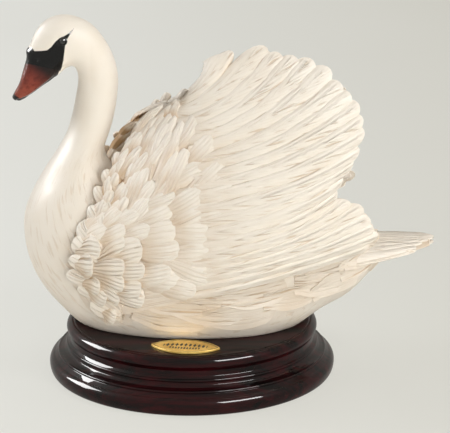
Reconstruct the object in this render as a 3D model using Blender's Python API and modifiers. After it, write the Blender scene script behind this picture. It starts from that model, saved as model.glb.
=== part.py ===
"""Swan figurine: a cast swan with arched wings, screwed on a turned round plinth.

The swan faces -X and its left wing faces -Y. The origin is the centre of the felt pad
that the figurine stands on, and +Z is up. Sizes are in millimetres and are turned into
metres when a mesh is made.
"""
import math

import bmesh
import bpy
import numpy as np

MM = 0.001

# Plinth: a turned disc with a moulded edge. Each moulding's reach steps out from the one above.
PLINTH_TOP_Z = 34.0
PLINTH_FOOT_Z = 0.4
TOP_FLAT_RADIUS = 77.2
NOSE_RADIUS = 4.4
NOSE_REACH = TOP_FLAT_RADIUS + 3.8
COVE_RADIUS = NOSE_REACH - 2.0
UPPER_BEAD_REACH = COVE_RADIUS + 2.6
UPPER_BEAD_RADIUS = 1.1
UPPER_BEAD_Z = 19.4
LOWER_BEAD_REACH = UPPER_BEAD_REACH + 5.3
LOWER_BEAD_RADIUS = 0.9
LOWER_BEAD_Z = 13.9
ROLL_REACH = LOWER_BEAD_REACH + 5.6
ROLL_Z = 6.2
PLINTH_FOOT_RADIUS = ROLL_REACH - 2.5
TURNING_STEPS = 56

# Felt pad in a shallow recess under the plinth
FOOT_RING_WIDTH = 5.7
FELT_THICKNESS = 1.6
FELT_CLEARANCE = 0.3
RECESS_RADIUS = PLINTH_FOOT_RADIUS - FOOT_RING_WIDTH
FELT_RADIUS = RECESS_RADIUS - FELT_CLEARANCE
RECESS_Z = FELT_THICKNESS + FELT_CLEARANCE

# Screws that hold the swan, their washers and their holes
SCREW_X = {"front": -42.0, "rear": 42.0}
SCREW_RADIUS = 2.5
SCREW_REACH = 14.0
SCREW_HEAD_RADIUS = 4.8
SCREW_HEAD_HEIGHT = 3.2
SCREW_SLOT_WIDTH = 1.2
SCREW_SLOT_DEPTH = 1.4
WASHER_RADIUS = 6.2
WASHER_THICKNESS = 1.2
SEAT_CLEARANCE = 0.3
HOLE_CLEARANCE = 0.4
COUNTERBORE_RADIUS = 8.0
COUNTERBORE_Z = 16.0

# Brass plaque: a pointed oval, glued a little askew in front of the swan
PLAQUE_LENGTH = 43.5
PLAQUE_WIDTH = 23.0
PLAQUE_THICKNESS = 1.2
PLAQUE_EDGE = 0.35
PLAQUE_X = -3.0
PLAQUE_CLEARANCE = 4.35
PLAQUE_TURN = math.radians(-9.0)
GLUE_GAP = 0.3

# Swan's body, neck, head and beak. Each station is one rib of the loft:
# belly side point (x, z), back side point (x, z) and half width.
SWAN_SEAT_Z = PLINTH_TOP_Z + GLUE_GAP
BODY_RIBS = [
    (121.0, 73.0, 121.0, 86.0, 8.0),
    (113.0, 64.5, 116.0, 91.0, 18.5),
    (100.0, 51.5, 103.0, 97.0, 28.0),
    (82.0, 41.0, 87.0, 104.0, 36.0),
    (62.0, 27.0, 68.0, 110.0, 44.0),
    (38.0, 16.0, 42.0, 114.0, 52.0),
    (8.0, 13.0, 14.0, 116.0, 56.0),
    (-22.0, 14.0, -10.0, 117.0, 55.5),
    (-49.0, 20.0, -27.0, 119.0, 51.0),
    (-69.5, 30.0, -38.0, 122.0, 46.0),
]
CHEST_RIBS = [
    (-86.5, 46.0, -45.0, 127.0, 42.5),
    (-97.5, 60.5, -49.0, 133.0, 40.0),
    (-104.5, 77.0, -52.5, 139.0, 36.0),
    (-107.0, 94.0, -54.5, 143.5, 31.0),
    (-105.5, 108.0, -54.5, 148.5, 26.5),
    (-99.5, 122.0, -52.5, 154.5, 22.0),
]
NECK_RIBS = [
    (-91.5, 135.5, -50.0, 162.0, 18.5),
    (-84.0, 147.0, -48.3, 169.0, 16.0),
    (-78.5, 157.0, -46.9, 176.5, 14.3),
    (-75.0, 168.0, -46.0, 184.0, 13.2),
    (-72.3, 180.0, -45.6, 192.5, 12.6),
    (-70.5, 190.0, -47.5, 203.0, 12.4),
    (-71.0, 196.5, -53.0, 215.0, 12.6),
]
HEAD_RIBS = [
    (-73.5, 199.8, -62.0, 226.0, 13.2),
    (-77.0, 199.0, -74.0, 231.7, 13.8),
    (-80.5, 196.5, -84.5, 231.6, 13.6),
    (-83.0, 194.3, -92.5, 227.0, 12.2),
    (-85.5, 192.3, -97.5, 219.5, 10.0),
]
BEAK_RIBS = [
    (-88.0, 190.3, -100.5, 210.5, 8.2),
    (-92.5, 187.0, -103.8, 200.0, 7.4),
    (-98.0, 182.8, -107.0, 190.0, 7.2),
    (-103.5, 179.2, -110.5, 183.5, 6.2),
    (-108.5, 176.8, -112.7, 179.0, 3.8),
]
RIB_POINTS = 20
RIB_SUBSTEPS = 2
SEAT_POINTS = 5
HEAD_TURN_START_X = -62.0
HEAD_TURN_START_Z = 196.0
HEAD_TURN_EASE = 25.0
HEAD_TURN = 0.15
EYE_RADIUS = 2.6
EYE_PLACE = (-78.6, 11.6, 218.0)
KNOB_RADIUS = 3.0
KNOB_PLACE = (-99.6, 0.0, 209.8)

# Wing: three curves that its surface passes through, from the lower edge to the top edge.
# Points are (x, distance from the swan's middle plane, z).
WING_LEADING = [
    (-50.0, 53.0, 51.0), (-66.0, 53.0, 79.0), (-66.0, 49.0, 98.0), (-55.0, 39.0, 123.0),
    (-45.0, 30.0, 146.0), (-25.0, 21.0, 167.0), (-2.0, 13.0, 181.0),
]
WING_RIDGE = [
    (23.0, 61.0, 71.0), (29.0, 66.0, 91.0), (31.0, 66.5, 110.0), (29.0, 62.0, 134.0),
    (26.0, 53.0, 155.0), (18.0, 38.0, 176.0), (8.0, 17.0, 197.0),
]
WING_TRAILING = [
    (108.0, 44.0, 92.0), (117.0, 46.0, 107.0), (105.0, 47.0, 122.0), (92.0, 47.0, 131.0),
    (99.0, 45.0, 146.0), (105.0, 42.0, 163.0), (103.0, 37.0, 181.0), (90.0, 30.0, 197.0),
    (67.0, 22.0, 209.0), (45.0, 15.0, 213.0), (18.0, 10.0, 207.0),
]
FAR_WING_TRAILING = [(86.0, 44.0, 96.0), (97.0, 46.0, 106.0), (111.0, 47.0, 117.0)] + WING_TRAILING[3:]
FEATHERS_ACROSS = 14
# Carving of the wing. Rows of coverts end at these shares of u, each row in scallops that
# curve back by COVERT_BOW of the row's width, with a step of ROW_STEP down to the next row.
COVERT_TIPS = [0.06, 0.13, 0.21, 0.30, 0.39, 0.50]
COVERT_BOW = 0.45
ROW_STEP = 0.004
# Short feathers point up along the leading edge and reach this share of u ahead of it. The
# rises belong to the columns of COLUMN_PARTS: each feather starts low and ends in a tip.
FINGER_REACH = 0.034
FINGER_RISES = [0.0, 0.35, 0.9, 1.0]
FINGER_THINNING = 0.55
CARVING_FLOOR = 0.2
COVERT_RISE_FRONT = 1.5
COVERT_RISE_RIDGE = 2.3
FEATHER_CROWN = 0.9
FLIGHT_RISE = 1.5
FLIGHT_RISE_SHARE = 0.3
FLIGHT_LINES = [0.0, 0.14, 0.32, 0.52, 0.72, 0.88, 1.0]
TIP_NOTCH = 0.045
# Columns of points across each feather, and how high a flight feather stands at each:
# its edge laps over the next feather, then comes the valley, the shaft and the far side.
COLUMN_PARTS = [0.0, 0.12, 0.5, 0.62]
COLUMN_RISES = [1.0, 0.15, 0.75, 0.7]
# Lines of the carved face that the plain inner face repeats
INNER_LINES = [0, 5, 11, 17, 20, 22, 24]
LEADING_THICKNESS = 9.0
TIP_THICKNESS = 2.4
TOP_THINNING = 0.6
FAR_WING_DROP = 9.0
FAR_WING_DROP_FROM_Z = 150.0
FAR_WING_DROP_OVER = 60.0

# Tail: x, height of its middle, half width and thickness
TAIL_STATIONS = [
    (92.0, 78.0, 27.0, 20.0), (106.0, 81.0, 26.5, 13.5), (120.0, 83.0, 24.0, 9.5),
    (134.0, 84.5, 19.5, 7.0), (146.0, 85.6, 14.0, 5.0), (153.0, 86.0, 9.0, 4.0), (157.0, 86.0, 4.5, 3.0),
]
TAIL_FEATHERS = 7
TAIL_RIDGE = 1.1
TAIL_ARCH = 0.12
TAIL_RIBS = 10


def smooth_curve(points, samples):
    """Catmull-Rom curve through the points, read at samples from 0 to 1."""
    pts = np.asarray(points, dtype=float)
    padded = np.vstack([2 * pts[0] - pts[1], pts, 2 * pts[-1] - pts[-2]])
    place = np.clip(np.asarray(samples, dtype=float), 0.0, 1.0) * (len(pts) - 1)
    first = np.minimum(place.astype(int), len(pts) - 2)
    t = (place - first)[:, None]
    p0, p1, p2, p3 = (padded[first + k] for k in range(4))
    return 0.5 * (2 * p1 + (p2 - p0) * t + (2 * p0 - 5 * p1 + 4 * p2 - p3) * t ** 2
                  + (3 * p1 - p0 - 3 * p2 + p3) * t ** 3)


def smoothstep(value):
    """0 below 0, 1 above 1 and an eased step between."""
    t = np.clip(value, 0.0, 1.0)
    return t * t * (3.0 - 2.0 * t)


def collection(name):
    made = bpy.data.collections.new(name)
    bpy.context.scene.collection.children.link(made)
    return made


def material(name, colour, roughness, metallic=0.0, coat=0.0):
    made = bpy.data.materials.new(name)
    made.use_nodes = True
    shader = made.node_tree.nodes["Principled BSDF"]
    shader.inputs["Base Color"].default_value = (*colour, 1.0)
    shader.inputs["Roughness"].default_value = roughness
    shader.inputs["Metallic"].default_value = metallic
    shader.inputs["Coat Weight"].default_value = coat
    made.diffuse_color = (*colour, 1.0)
    return made


def mesh_object(name, points_mm, faces, home, finish=None):
    """New object from points in millimetres, with its faces turned outwards."""
    mesh = bpy.data.meshes.new(name)
    mesh.from_pydata([tuple(p) for p in np.asarray(points_mm) * MM], [], faces)
    work = bmesh.new()
    work.from_mesh(mesh)
    bmesh.ops.recalc_face_normals(work, faces=work.faces)
    work.to_mesh(mesh)
    work.free()
    mesh.shade_smooth()
    mesh.set_sharp_from_angle(angle=math.radians(40))
    made = bpy.data.objects.new(name, mesh)
    home.objects.link(made)
    if finish:
        mesh.materials.append(finish)
    return made


def round_bar(name, radius, z_low, z_high, centre, home, finish=None, sides=32):
    """Upright cylinder between two heights."""
    bpy.ops.mesh.primitive_cylinder_add(
        vertices=sides, radius=radius * MM, depth=(z_high - z_low) * MM,
        location=(centre[0] * MM, centre[1] * MM, (z_low + z_high) / 2 * MM))
    made = bpy.context.object
    made.name = name
    for old in list(made.users_collection):
        old.objects.unlink(made)
    home.objects.link(made)
    made.data.shade_smooth()
    made.data.set_sharp_from_angle(angle=math.radians(40))
    if finish:
        made.data.materials.append(finish)
    return made


def as_guide(piece):
    piece.hide_render = True
    piece.display_type = "WIRE"
    return piece


def boolean(piece, other, operation):
    step = piece.modifiers.new(f"{operation.lower()}_{other.name}", "BOOLEAN")
    step.operation = operation
    step.object = other
    step.solver = "EXACT"


def arc(centre, radius, start_degrees, end_degrees, count):
    """Points on a circle in the profile plane, from one angle to another."""
    angles = np.radians(np.linspace(start_degrees, end_degrees, count))
    return [(centre[0] + radius * math.cos(a), centre[1] + radius * math.sin(a)) for a in angles]


def plinth_profile():
    """Half section of the plinth, from the top's middle down the moulded edge to the recess."""
    nose_centre = (NOSE_REACH - NOSE_RADIUS, PLINTH_TOP_Z - NOSE_RADIUS)
    quirk = 0.5
    points = [(0.0, PLINTH_TOP_Z), (TOP_FLAT_RADIUS - 1.4, PLINTH_TOP_Z)]
    points += [(TOP_FLAT_RADIUS - 0.7, PLINTH_TOP_Z - quirk)]
    points += arc(nose_centre, NOSE_RADIUS, 78, -48, 7)
    points += [(COVE_RADIUS, PLINTH_TOP_Z - 2 * NOSE_RADIUS)]
    points += [(COVE_RADIUS + 0.2, UPPER_BEAD_Z + 2.6)]
    points += arc((UPPER_BEAD_REACH - UPPER_BEAD_RADIUS, UPPER_BEAD_Z), UPPER_BEAD_RADIUS, 80, -80, 4)
    points += [(UPPER_BEAD_REACH - 0.4, LOWER_BEAD_Z + 2.9), (UPPER_BEAD_REACH + 1.2, LOWER_BEAD_Z + 1.7)]
    points += [(LOWER_BEAD_REACH - 1.9, LOWER_BEAD_Z + 0.9)]
    points += arc((LOWER_BEAD_REACH - LOWER_BEAD_RADIUS, LOWER_BEAD_Z), LOWER_BEAD_RADIUS, 75, -60, 3)
    roll_height = LOWER_BEAD_Z - 2.6 - ROLL_Z
    angles = np.radians(np.linspace(72, 0, 4))
    shoulder = LOWER_BEAD_REACH + 0.6
    points += [(shoulder + (ROLL_REACH - shoulder) * math.cos(a), ROLL_Z + roll_height * math.sin(a))
               for a in angles]
    angles = np.radians(np.linspace(-25, -75, 3))
    foot_drop = ROLL_Z - PLINTH_FOOT_Z
    points += [(PLINTH_FOOT_RADIUS + (ROLL_REACH - PLINTH_FOOT_RADIUS) * math.cos(a),
                ROLL_Z + foot_drop * math.sin(a)) for a in angles]
    points += [(PLINTH_FOOT_RADIUS, PLINTH_FOOT_Z), (RECESS_RADIUS, PLINTH_FOOT_Z)]
    points += [(RECESS_RADIUS, RECESS_Z), (0.0, RECESS_Z)]
    return points


def turned(name, profile, home, finish):
    """Solid of revolution: the profile is spun about Z with a Screw modifier."""
    mesh = bpy.data.meshes.new(name)
    points = [(r * MM, 0.0, z * MM) for r, z in profile]
    mesh.from_pydata(points, [(i, i + 1) for i in range(len(points) - 1)], [])
    made = bpy.data.objects.new(name, mesh)
    home.objects.link(made)
    mesh.materials.append(finish)
    spin = made.modifiers.new("turn", "SCREW")
    spin.axis = "Z"
    spin.steps = TURNING_STEPS
    spin.render_steps = TURNING_STEPS
    spin.use_merge_vertices = True
    spin.merge_threshold = 0.00002
    spin.use_smooth_shade = True
    return made


def make_plinth(home, cutters, wood):
    plinth = turned("plinth", plinth_profile(), home, wood)
    for place, x in SCREW_X.items():
        bore = round_bar(f"cut_bore_{place}", COUNTERBORE_RADIUS, -1.0, COUNTERBORE_Z, (x, 0.0), cutters)
        hole = round_bar(f"cut_hole_{place}", SCREW_RADIUS + HOLE_CLEARANCE, COUNTERBORE_Z - 1.0,
                         PLINTH_TOP_Z + 1.0, (x, 0.0), cutters, sides=24)
        for cutter in (bore, hole):
            boolean(plinth, as_guide(cutter), "DIFFERENCE")


def make_screws(home, cutters, steel):
    """Pan head screw and washer under each counterbore's end, with a slot in the head."""
    washer_top = COUNTERBORE_Z - SEAT_CLEARANCE
    head_top = washer_top - WASHER_THICKNESS - SEAT_CLEARANCE
    tip_z = SWAN_SEAT_Z + SCREW_REACH
    for place, x in SCREW_X.items():
        washer = round_bar(f"washer_{place}", WASHER_RADIUS, washer_top - WASHER_THICKNESS, washer_top,
                           (x, 0.0), home, steel)
        hole = round_bar(f"cut_washer_{place}", SCREW_RADIUS + HOLE_CLEARANCE,
                         washer_top - WASHER_THICKNESS - 1.0, washer_top + 1.0, (x, 0.0), cutters)
        boolean(washer, as_guide(hole), "DIFFERENCE")
        head_low = head_top - SCREW_HEAD_HEIGHT
        rounded = arc((SCREW_HEAD_RADIUS - 1.2, head_low + 1.2), 1.2, 0, -90, 4)
        profile = [(0.0, tip_z), (SCREW_RADIUS - 0.8, tip_z), (SCREW_RADIUS, tip_z - 0.8),
                   (SCREW_RADIUS, head_top), (SCREW_HEAD_RADIUS, head_top)] + rounded + [(0.0, head_low)]
        screw = turned(f"screw_{place}", profile, home, steel)
        screw.location.x = x * MM
        spin = screw.modifiers["turn"]
        spin.steps = spin.render_steps = 24
        bpy.ops.mesh.primitive_cube_add(size=1.0, location=(x * MM, 0.0, head_low * MM))
        slot = bpy.context.object
        slot.name = f"cut_slot_{place}"
        slot.scale = (2 * SCREW_HEAD_RADIUS * MM + 0.002, SCREW_SLOT_WIDTH * MM, 2 * SCREW_SLOT_DEPTH * MM)
        for old in list(slot.users_collection):
            old.objects.unlink(slot)
        cutters.objects.link(slot)
        boolean(screw, as_guide(slot), "DIFFERENCE")


def make_felt_pad(home, felt):
    round_bar("felt_pad", FELT_RADIUS, 0.0, FELT_THICKNESS, (0.0, 0.0), home, felt, sides=48)


def plaque_centre():
    """The plaque lies beside the swan, with PLAQUE_CLEARANCE between them."""
    _, points = bird_skin()
    beside = np.abs(points[:, 0] - PLAQUE_X) < PLAQUE_LENGTH / 2
    beside &= points[:, 2] < SWAN_SEAT_Z + 2 * PLAQUE_THICKNESS
    reach = np.max(-points[beside, 1])
    return PLAQUE_X, -(reach + PLAQUE_CLEARANCE + PLAQUE_WIDTH / 2)


def make_plaque(home, brass):
    """Pointed oval: two arcs that meet in points, as a flat curve with a small bevel."""
    half, rise = PLAQUE_LENGTH / 2, PLAQUE_WIDTH / 2
    radius = (half ** 2 + rise ** 2) / (2 * rise)
    reach = math.asin(half / radius)
    angles = np.linspace(-reach, reach, 19)
    upper = np.stack([radius * np.sin(angles), radius * np.cos(angles) - (radius - rise)], -1)
    outline = np.vstack([upper[:-1], -upper[:-1]])
    curve = bpy.data.curves.new("plaque", "CURVE")
    curve.dimensions = "2D"
    curve.fill_mode = "BOTH"
    curve.extrude = (PLAQUE_THICKNESS / 2 - PLAQUE_EDGE) * MM
    curve.bevel_depth = PLAQUE_EDGE * MM
    curve.bevel_resolution = 0
    curve.offset = -PLAQUE_EDGE * MM
    line = curve.splines.new("POLY")
    line.points.add(len(outline) - 1)
    line.use_cyclic_u = True
    for point, (x, y) in zip(line.points, outline):
        point.co = (x * MM, y * MM, 0.0, 1.0)
    plaque = bpy.data.objects.new("plaque", curve)
    home.objects.link(plaque)
    x, y = plaque_centre()
    plaque.location = (x * MM, y * MM, (PLINTH_TOP_Z + GLUE_GAP + PLAQUE_THICKNESS / 2) * MM)
    plaque.rotation_euler.z = PLAQUE_TURN
    curve.materials.append(brass)


def grid_faces(rows, columns, start=0, closed=False):
    """Quads of a grid of rows x columns points, closed into a ring across the columns if asked."""
    wrap = columns if closed else columns - 1
    return [(start + r * columns + c, start + r * columns + (c + 1) % columns,
             start + (r + 1) * columns + (c + 1) % columns, start + (r + 1) * columns + c)
            for r in range(rows - 1) for c in range(wrap)]


def rib_angles(middle_z, reach_z):
    """Angles of each rib's points, counted from the back: a rib that dips below the seat
    has two points just where it meets the seat and SEAT_POINTS on the flat between them."""
    plain_edge = -math.cos(math.pi * (SEAT_POINTS + 1) / RIB_POINTS)
    meets = np.arccos(np.maximum((SWAN_SEAT_Z - middle_z) / reach_z, plain_edge))[:, None]
    side_points = RIB_POINTS - SEAT_POINTS
    sides = meets * np.linspace(-1.0, 1.0, side_points)
    flat = meets + (2 * math.pi - 2 * meets) * np.linspace(0.0, 1.0, SEAT_POINTS + 2)[1:-1]
    return np.hstack([sides, flat])


def bird_skin():
    """Number of ribs and points of the body, neck, head and beak: one loft of oval ribs, each in
    the plane of its belly point and back point."""
    ribs = BODY_RIBS + CHEST_RIBS + NECK_RIBS + HEAD_RIBS + BEAK_RIBS
    count = (len(ribs) - 1) * RIB_SUBSTEPS + 1
    stations = smooth_curve(ribs, np.linspace(0.0, 1.0, count))
    belly, back, half = stations[:, 0:2], stations[:, 2:4], stations[:, 4]
    middle, reach = (belly + back) / 2, (back - belly) / 2
    angle = rib_angles(middle[:, 1], reach[:, 1])
    x = middle[:, :1] + reach[:, :1] * np.cos(angle)
    z = middle[:, 1:] + reach[:, 1:] * np.cos(angle)
    ease = smoothstep((z - HEAD_TURN_START_Z) / HEAD_TURN_EASE + 1.0)
    turn = HEAD_TURN * np.maximum(0.0, HEAD_TURN_START_X - x) * ease
    y = half[:, None] * np.sin(angle) - turn
    return count, np.stack([x, y, np.maximum(z, SWAN_SEAT_Z)], -1).reshape(-1, 3)


def make_bird_skin(home):
    count, points = bird_skin()
    faces = grid_faces(count, RIB_POINTS, closed=True)
    faces += [tuple(range(RIB_POINTS)), tuple(range((count - 1) * RIB_POINTS, count * RIB_POINTS))]
    return mesh_object("swan", points, faces, home)


def wing_surface(u, v, trailing):
    """Point of the plain wing: a parabola through the leading, ridge and trailing curves.

    u runs from 0 at the leading edge through 0.5 at the ridge to 1 at the feather tips,
    and v from 0 at the lower edge to 1 at the top.
    """
    lead, ridge, trail = (smooth_curve(curve, v) for curve in (WING_LEADING, WING_RIDGE, trailing))
    a, b, c = (1 - u) * (1 - 2 * u), 4 * u * (1 - u), u * (2 * u - 1)
    return a[:, None] * lead + b[:, None] * ridge + c[:, None] * trail


def wing_normal(u, v, trailing):
    """Unit normal of the plain wing, away from the swan's middle plane."""
    step = 0.004
    along = wing_surface(u + step, v, trailing) - wing_surface(u - step, v, trailing)
    low, high = np.clip(v - step, 0, 1), np.clip(v + step, 0, 1)
    across = wing_surface(u, high, trailing) - wing_surface(u, low, trailing)
    normal = np.cross(across, along)
    normal /= np.linalg.norm(normal, axis=1, keepdims=True)
    return normal * np.sign(normal[:, 1:2])


def scallop(v, shift):
    """1 on each feather's middle line and 0 between two feathers."""
    part = (v * FEATHERS_ACROSS + shift) % 1.0
    return 1.0 - (2.0 * part - 1.0) ** 2


def finger(v):
    """0 where a feather of the leading edge starts and 1 at its tip, higher up."""
    return np.interp((v * FEATHERS_ACROSS) % 1.0, COLUMN_PARTS + [1.0], FINGER_RISES + [0.0])


def row_tip(row, v):
    """Scalloped line where a row of coverts ends; feathers of odd rows sit between those of even rows."""
    shift = 0.5 * (row % 2)
    before = COVERT_TIPS[row - 1] if row else 0.0
    bow = COVERT_BOW * (COVERT_TIPS[row] - before)
    return COVERT_TIPS[row] - bow * (1.0 - scallop(v, shift))


def feather_lines(v):
    """Lines of (u, height) along the wing: three for each row of coverts, then the flight feathers."""
    lines = []
    begin = -FINGER_REACH * finger(v)
    rises = np.linspace(COVERT_RISE_FRONT, COVERT_RISE_RIDGE, len(COVERT_TIPS))
    for row, rise in enumerate(rises):
        end = row_tip(row, v)
        crown = FEATHER_CROWN * scallop(v, 0.5 * (row % 2))
        lines.append((begin, CARVING_FLOOR + 0.3 * crown))
        lines.append(((begin + end) / 2, 0.5 * rise + 0.8 * crown))
        lines.append((end, rise + crown))
        begin = end + ROW_STEP
    end = 1.0 - TIP_NOTCH * (1.0 - scallop(v, 0.0))
    part = (v * FEATHERS_ACROSS) % 1.0
    lap = FLIGHT_RISE * np.interp(part, COLUMN_PARTS + [1.0], COLUMN_RISES + COLUMN_RISES[:1])
    for share in FLIGHT_LINES:
        height = CARVING_FLOOR + lap * smoothstep(share / FLIGHT_RISE_SHARE)
        lines.append((begin + (end - begin) * share, height))
    return lines


def shell_depth(u, v):
    """Thickness of the wing: thick at the leading edge, thin at the tips and along the top."""
    taper = (1.0 - np.maximum(u, 0.0)) ** 0.8 * (1.0 - TOP_THINNING * v ** 4)
    taper *= 1.0 - FINGER_THINNING * np.maximum(-u, 0.0) / FINGER_REACH
    return TIP_THICKNESS + (LEADING_THICKNESS - TIP_THICKNESS) * taper


def make_wing(name, side, trailing, home):
    """Closed shell of one wing: carved outer face, plain inner face and the walls between them."""
    v = np.arange(FEATHERS_ACROSS)[:, None] + np.array(COLUMN_PARTS)
    v = np.append(v.ravel(), FEATHERS_ACROSS) / FEATHERS_ACROSS
    lines = feather_lines(v)
    outer, inner = [], []
    for index, (u, height) in enumerate(lines):
        base, normal = wing_surface(u, v, trailing), wing_normal(u, v, trailing)
        outer.append(base + normal * height[:, None])
        if index in INNER_LINES:
            inner.append(base - normal * shell_depth(u, v)[:, None])
    points = np.concatenate(outer + inner)
    points[:, 1] *= side
    if side > 0:
        drop = smoothstep((points[:, 2] - FAR_WING_DROP_FROM_Z) / FAR_WING_DROP_OVER)
        points[:, 2] -= FAR_WING_DROP * drop
    columns, rows, start = len(v), len(lines), len(lines) * len(v)
    faces = grid_faces(rows, columns) + grid_faces(len(INNER_LINES), columns, start)
    for a, b in ((0, 0), (rows - 1, len(INNER_LINES) - 1)):
        carved, plain = a * columns, start + b * columns
        faces += [(carved + c, carved + c + 1, plain + c + 1, plain + c) for c in range(columns - 1)]
    for c in (0, columns - 1):
        for b in range(len(INNER_LINES) - 1):
            ahead = [r * columns + c for r in range(INNER_LINES[b], INNER_LINES[b + 1] + 1)]
            faces.append(tuple(ahead + [start + (b + 1) * columns + c, start + b * columns + c]))
    return mesh_object(name, points, faces, home)


def make_tail(home):
    """Flat tapering tail with a ridge along each of its feathers."""
    count = TAIL_RIBS
    stations = smooth_curve(TAIL_STATIONS, np.linspace(0.0, 1.0, count))
    across = np.linspace(-1.0, 1.0, 4 * TAIL_FEATHERS + 1)
    ridge = TAIL_RIDGE * np.abs(np.sin(across * TAIL_FEATHERS * math.pi / 2)) * (1 - across ** 4)
    top, low = [], []
    for x, z, half, thick in stations:
        edge = thick / 2 * (1 - across ** 2) ** 0.5
        y = half * across
        middle = z - TAIL_ARCH * half * across ** 2
        top.append(np.stack([np.full_like(y, x), y, middle + ridge + edge], -1))
        low.append(np.stack([np.full_like(y, x), y, middle - edge], -1)[1:-1])
    rings = np.stack([np.vstack([a, b[::-1]]) for a, b in zip(top, low)])
    size = rings.shape[1]
    faces = grid_faces(count, size, closed=True)
    faces += [tuple(range(size)), tuple(range((count - 1) * size, count * size))]
    return mesh_object("add_tail", rings.reshape(-1, 3), faces, home)


def make_ball(name, radius, place, home):
    centre = [c * MM for c in place]
    bpy.ops.mesh.primitive_ico_sphere_add(subdivisions=2, radius=radius * MM, location=centre)
    made = bpy.context.object
    made.name = name
    for old in list(made.users_collection):
        old.objects.unlink(made)
    home.objects.link(made)
    return made


def make_swan(home, cutters, resin):
    swan = make_bird_skin(home)
    swan.data.materials.append(resin)
    additions = [make_wing("add_wing_left", -1, WING_TRAILING, cutters),
                 make_wing("add_wing_right", 1, FAR_WING_TRAILING, cutters), make_tail(cutters)]
    x, y, z = EYE_PLACE
    turn = HEAD_TURN * (HEAD_TURN_START_X - x)
    additions.append(make_ball("add_eye_left", EYE_RADIUS, (x, -y - turn, z), cutters))
    additions.append(make_ball("add_eye_right", EYE_RADIUS, (x, y - turn, z), cutters))
    x, y, z = KNOB_PLACE
    turn = HEAD_TURN * (HEAD_TURN_START_X - x)
    additions.append(make_ball("add_knob", KNOB_RADIUS, (x, y - turn, z), cutters))
    for piece in additions:
        boolean(swan, as_guide(piece), "UNION")
    for place, x in SCREW_X.items():
        pilot = round_bar(f"cut_pilot_{place}", SCREW_RADIUS + HOLE_CLEARANCE, SWAN_SEAT_Z - 1.0,
                          SWAN_SEAT_Z + SCREW_REACH + 1.0, (x, 0.0), cutters, sides=24)
        boolean(swan, as_guide(pilot), "DIFFERENCE")


def main():
    for old in list(bpy.data.objects):
        bpy.data.objects.remove(old, do_unlink=True)
    figurine = collection("swan_figurine")
    cutters = collection("cutters")
    resin = material("ivory_resin", (0.82, 0.74, 0.62), 0.45)
    wood = material("lacquered_wood", (0.045, 0.008, 0.008), 0.12, coat=1.0)
    brass = material("brass", (0.48, 0.32, 0.09), 0.3, metallic=1.0)
    steel = material("zinc_steel", (0.5, 0.5, 0.5), 0.35, metallic=1.0)
    felt = material("felt", (0.03, 0.09, 0.04), 0.95)
    make_plinth(figurine, cutters, wood)
    make_felt_pad(figurine, felt)
    make_screws(figurine, cutters, steel)
    make_plaque(figurine, brass)
    make_swan(figurine, cutters, resin)


main()
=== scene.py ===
import math

import bpy
import numpy as np
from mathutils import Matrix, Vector


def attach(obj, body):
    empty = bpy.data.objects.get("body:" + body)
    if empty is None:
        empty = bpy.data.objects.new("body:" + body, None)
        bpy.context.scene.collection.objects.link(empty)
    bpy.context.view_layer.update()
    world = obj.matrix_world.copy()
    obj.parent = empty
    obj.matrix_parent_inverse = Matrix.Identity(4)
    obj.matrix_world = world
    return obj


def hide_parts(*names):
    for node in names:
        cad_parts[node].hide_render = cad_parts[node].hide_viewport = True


# %% [markdown]
# # A cast swan on a turned plinth
# The swan is one casting in ivory resin: a smooth neck and body, and wings whose feathers were
# carved in the master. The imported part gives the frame, so each piece made here is put where
# the part has it. Numbers are in millimetres and become metres when a mesh is made.

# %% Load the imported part
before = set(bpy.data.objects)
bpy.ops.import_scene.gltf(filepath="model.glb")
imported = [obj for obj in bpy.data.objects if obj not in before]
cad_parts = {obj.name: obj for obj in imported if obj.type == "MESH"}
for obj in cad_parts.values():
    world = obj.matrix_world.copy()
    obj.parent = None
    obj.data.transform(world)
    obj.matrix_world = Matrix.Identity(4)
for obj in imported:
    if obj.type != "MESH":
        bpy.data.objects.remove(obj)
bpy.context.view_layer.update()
MM = 0.001
print("nodes:", sorted(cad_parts))

# %% [markdown]
# ## Camera
# A long lens from 1.3 m away keeps the swan's proportions calm, as a catalogue picture does.
# The camera looks down by 16.3 degrees, so the plinth's top shows as a thin oval.

# %% Camera
TARGET = Vector((0.0215, 0.0, 0.101))
DISTANCE = 1.3
LOOK_DOWN = math.radians(16.3)
lens = bpy.data.cameras.new("camera")
lens.sensor_fit = "HORIZONTAL"
lens.sensor_width = 36.0
lens.lens = 162.5
lens.clip_end = 30.0
camera = bpy.data.objects.new("camera", lens)
camera.location = TARGET + DISTANCE * Vector((0.0, -math.cos(LOOK_DOWN), math.sin(LOOK_DOWN)))
camera.rotation_euler = (math.pi / 2 - LOOK_DOWN, 0.0, 0.0)
bpy.context.scene.collection.objects.link(camera)
bpy.context.scene.camera = camera
bpy.context.scene.view_settings.view_transform = "Standard"
print("camera at", [round(c, 3) for c in camera.location])

# %% [markdown]
# ## From arrays to meshes
# Each shape below is a grid of points that numpy works out at once. This cell turns such a grid
# into a mesh. It checks the sign of the enclosed volume, because a mirrored wing would
# otherwise come out inside out.

# %% Mesh maker
def quads(index):
    """Quads between the neighbours of a grid of point numbers."""
    return np.stack([index[:-1, :-1], index[:-1, 1:], index[1:, 1:], index[1:, :-1]], -1).reshape(-1, 4)


def closed_grid(rows, columns):
    """Quads of a grid that closes round its columns and ends in two poles, the points after its own."""
    index = np.arange(rows * columns).reshape(rows, columns)
    index = np.vstack([np.full(columns, index.size), index, np.full(columns, index.size + 1)])
    return quads(np.hstack([index, index[:, :1]]))


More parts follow.
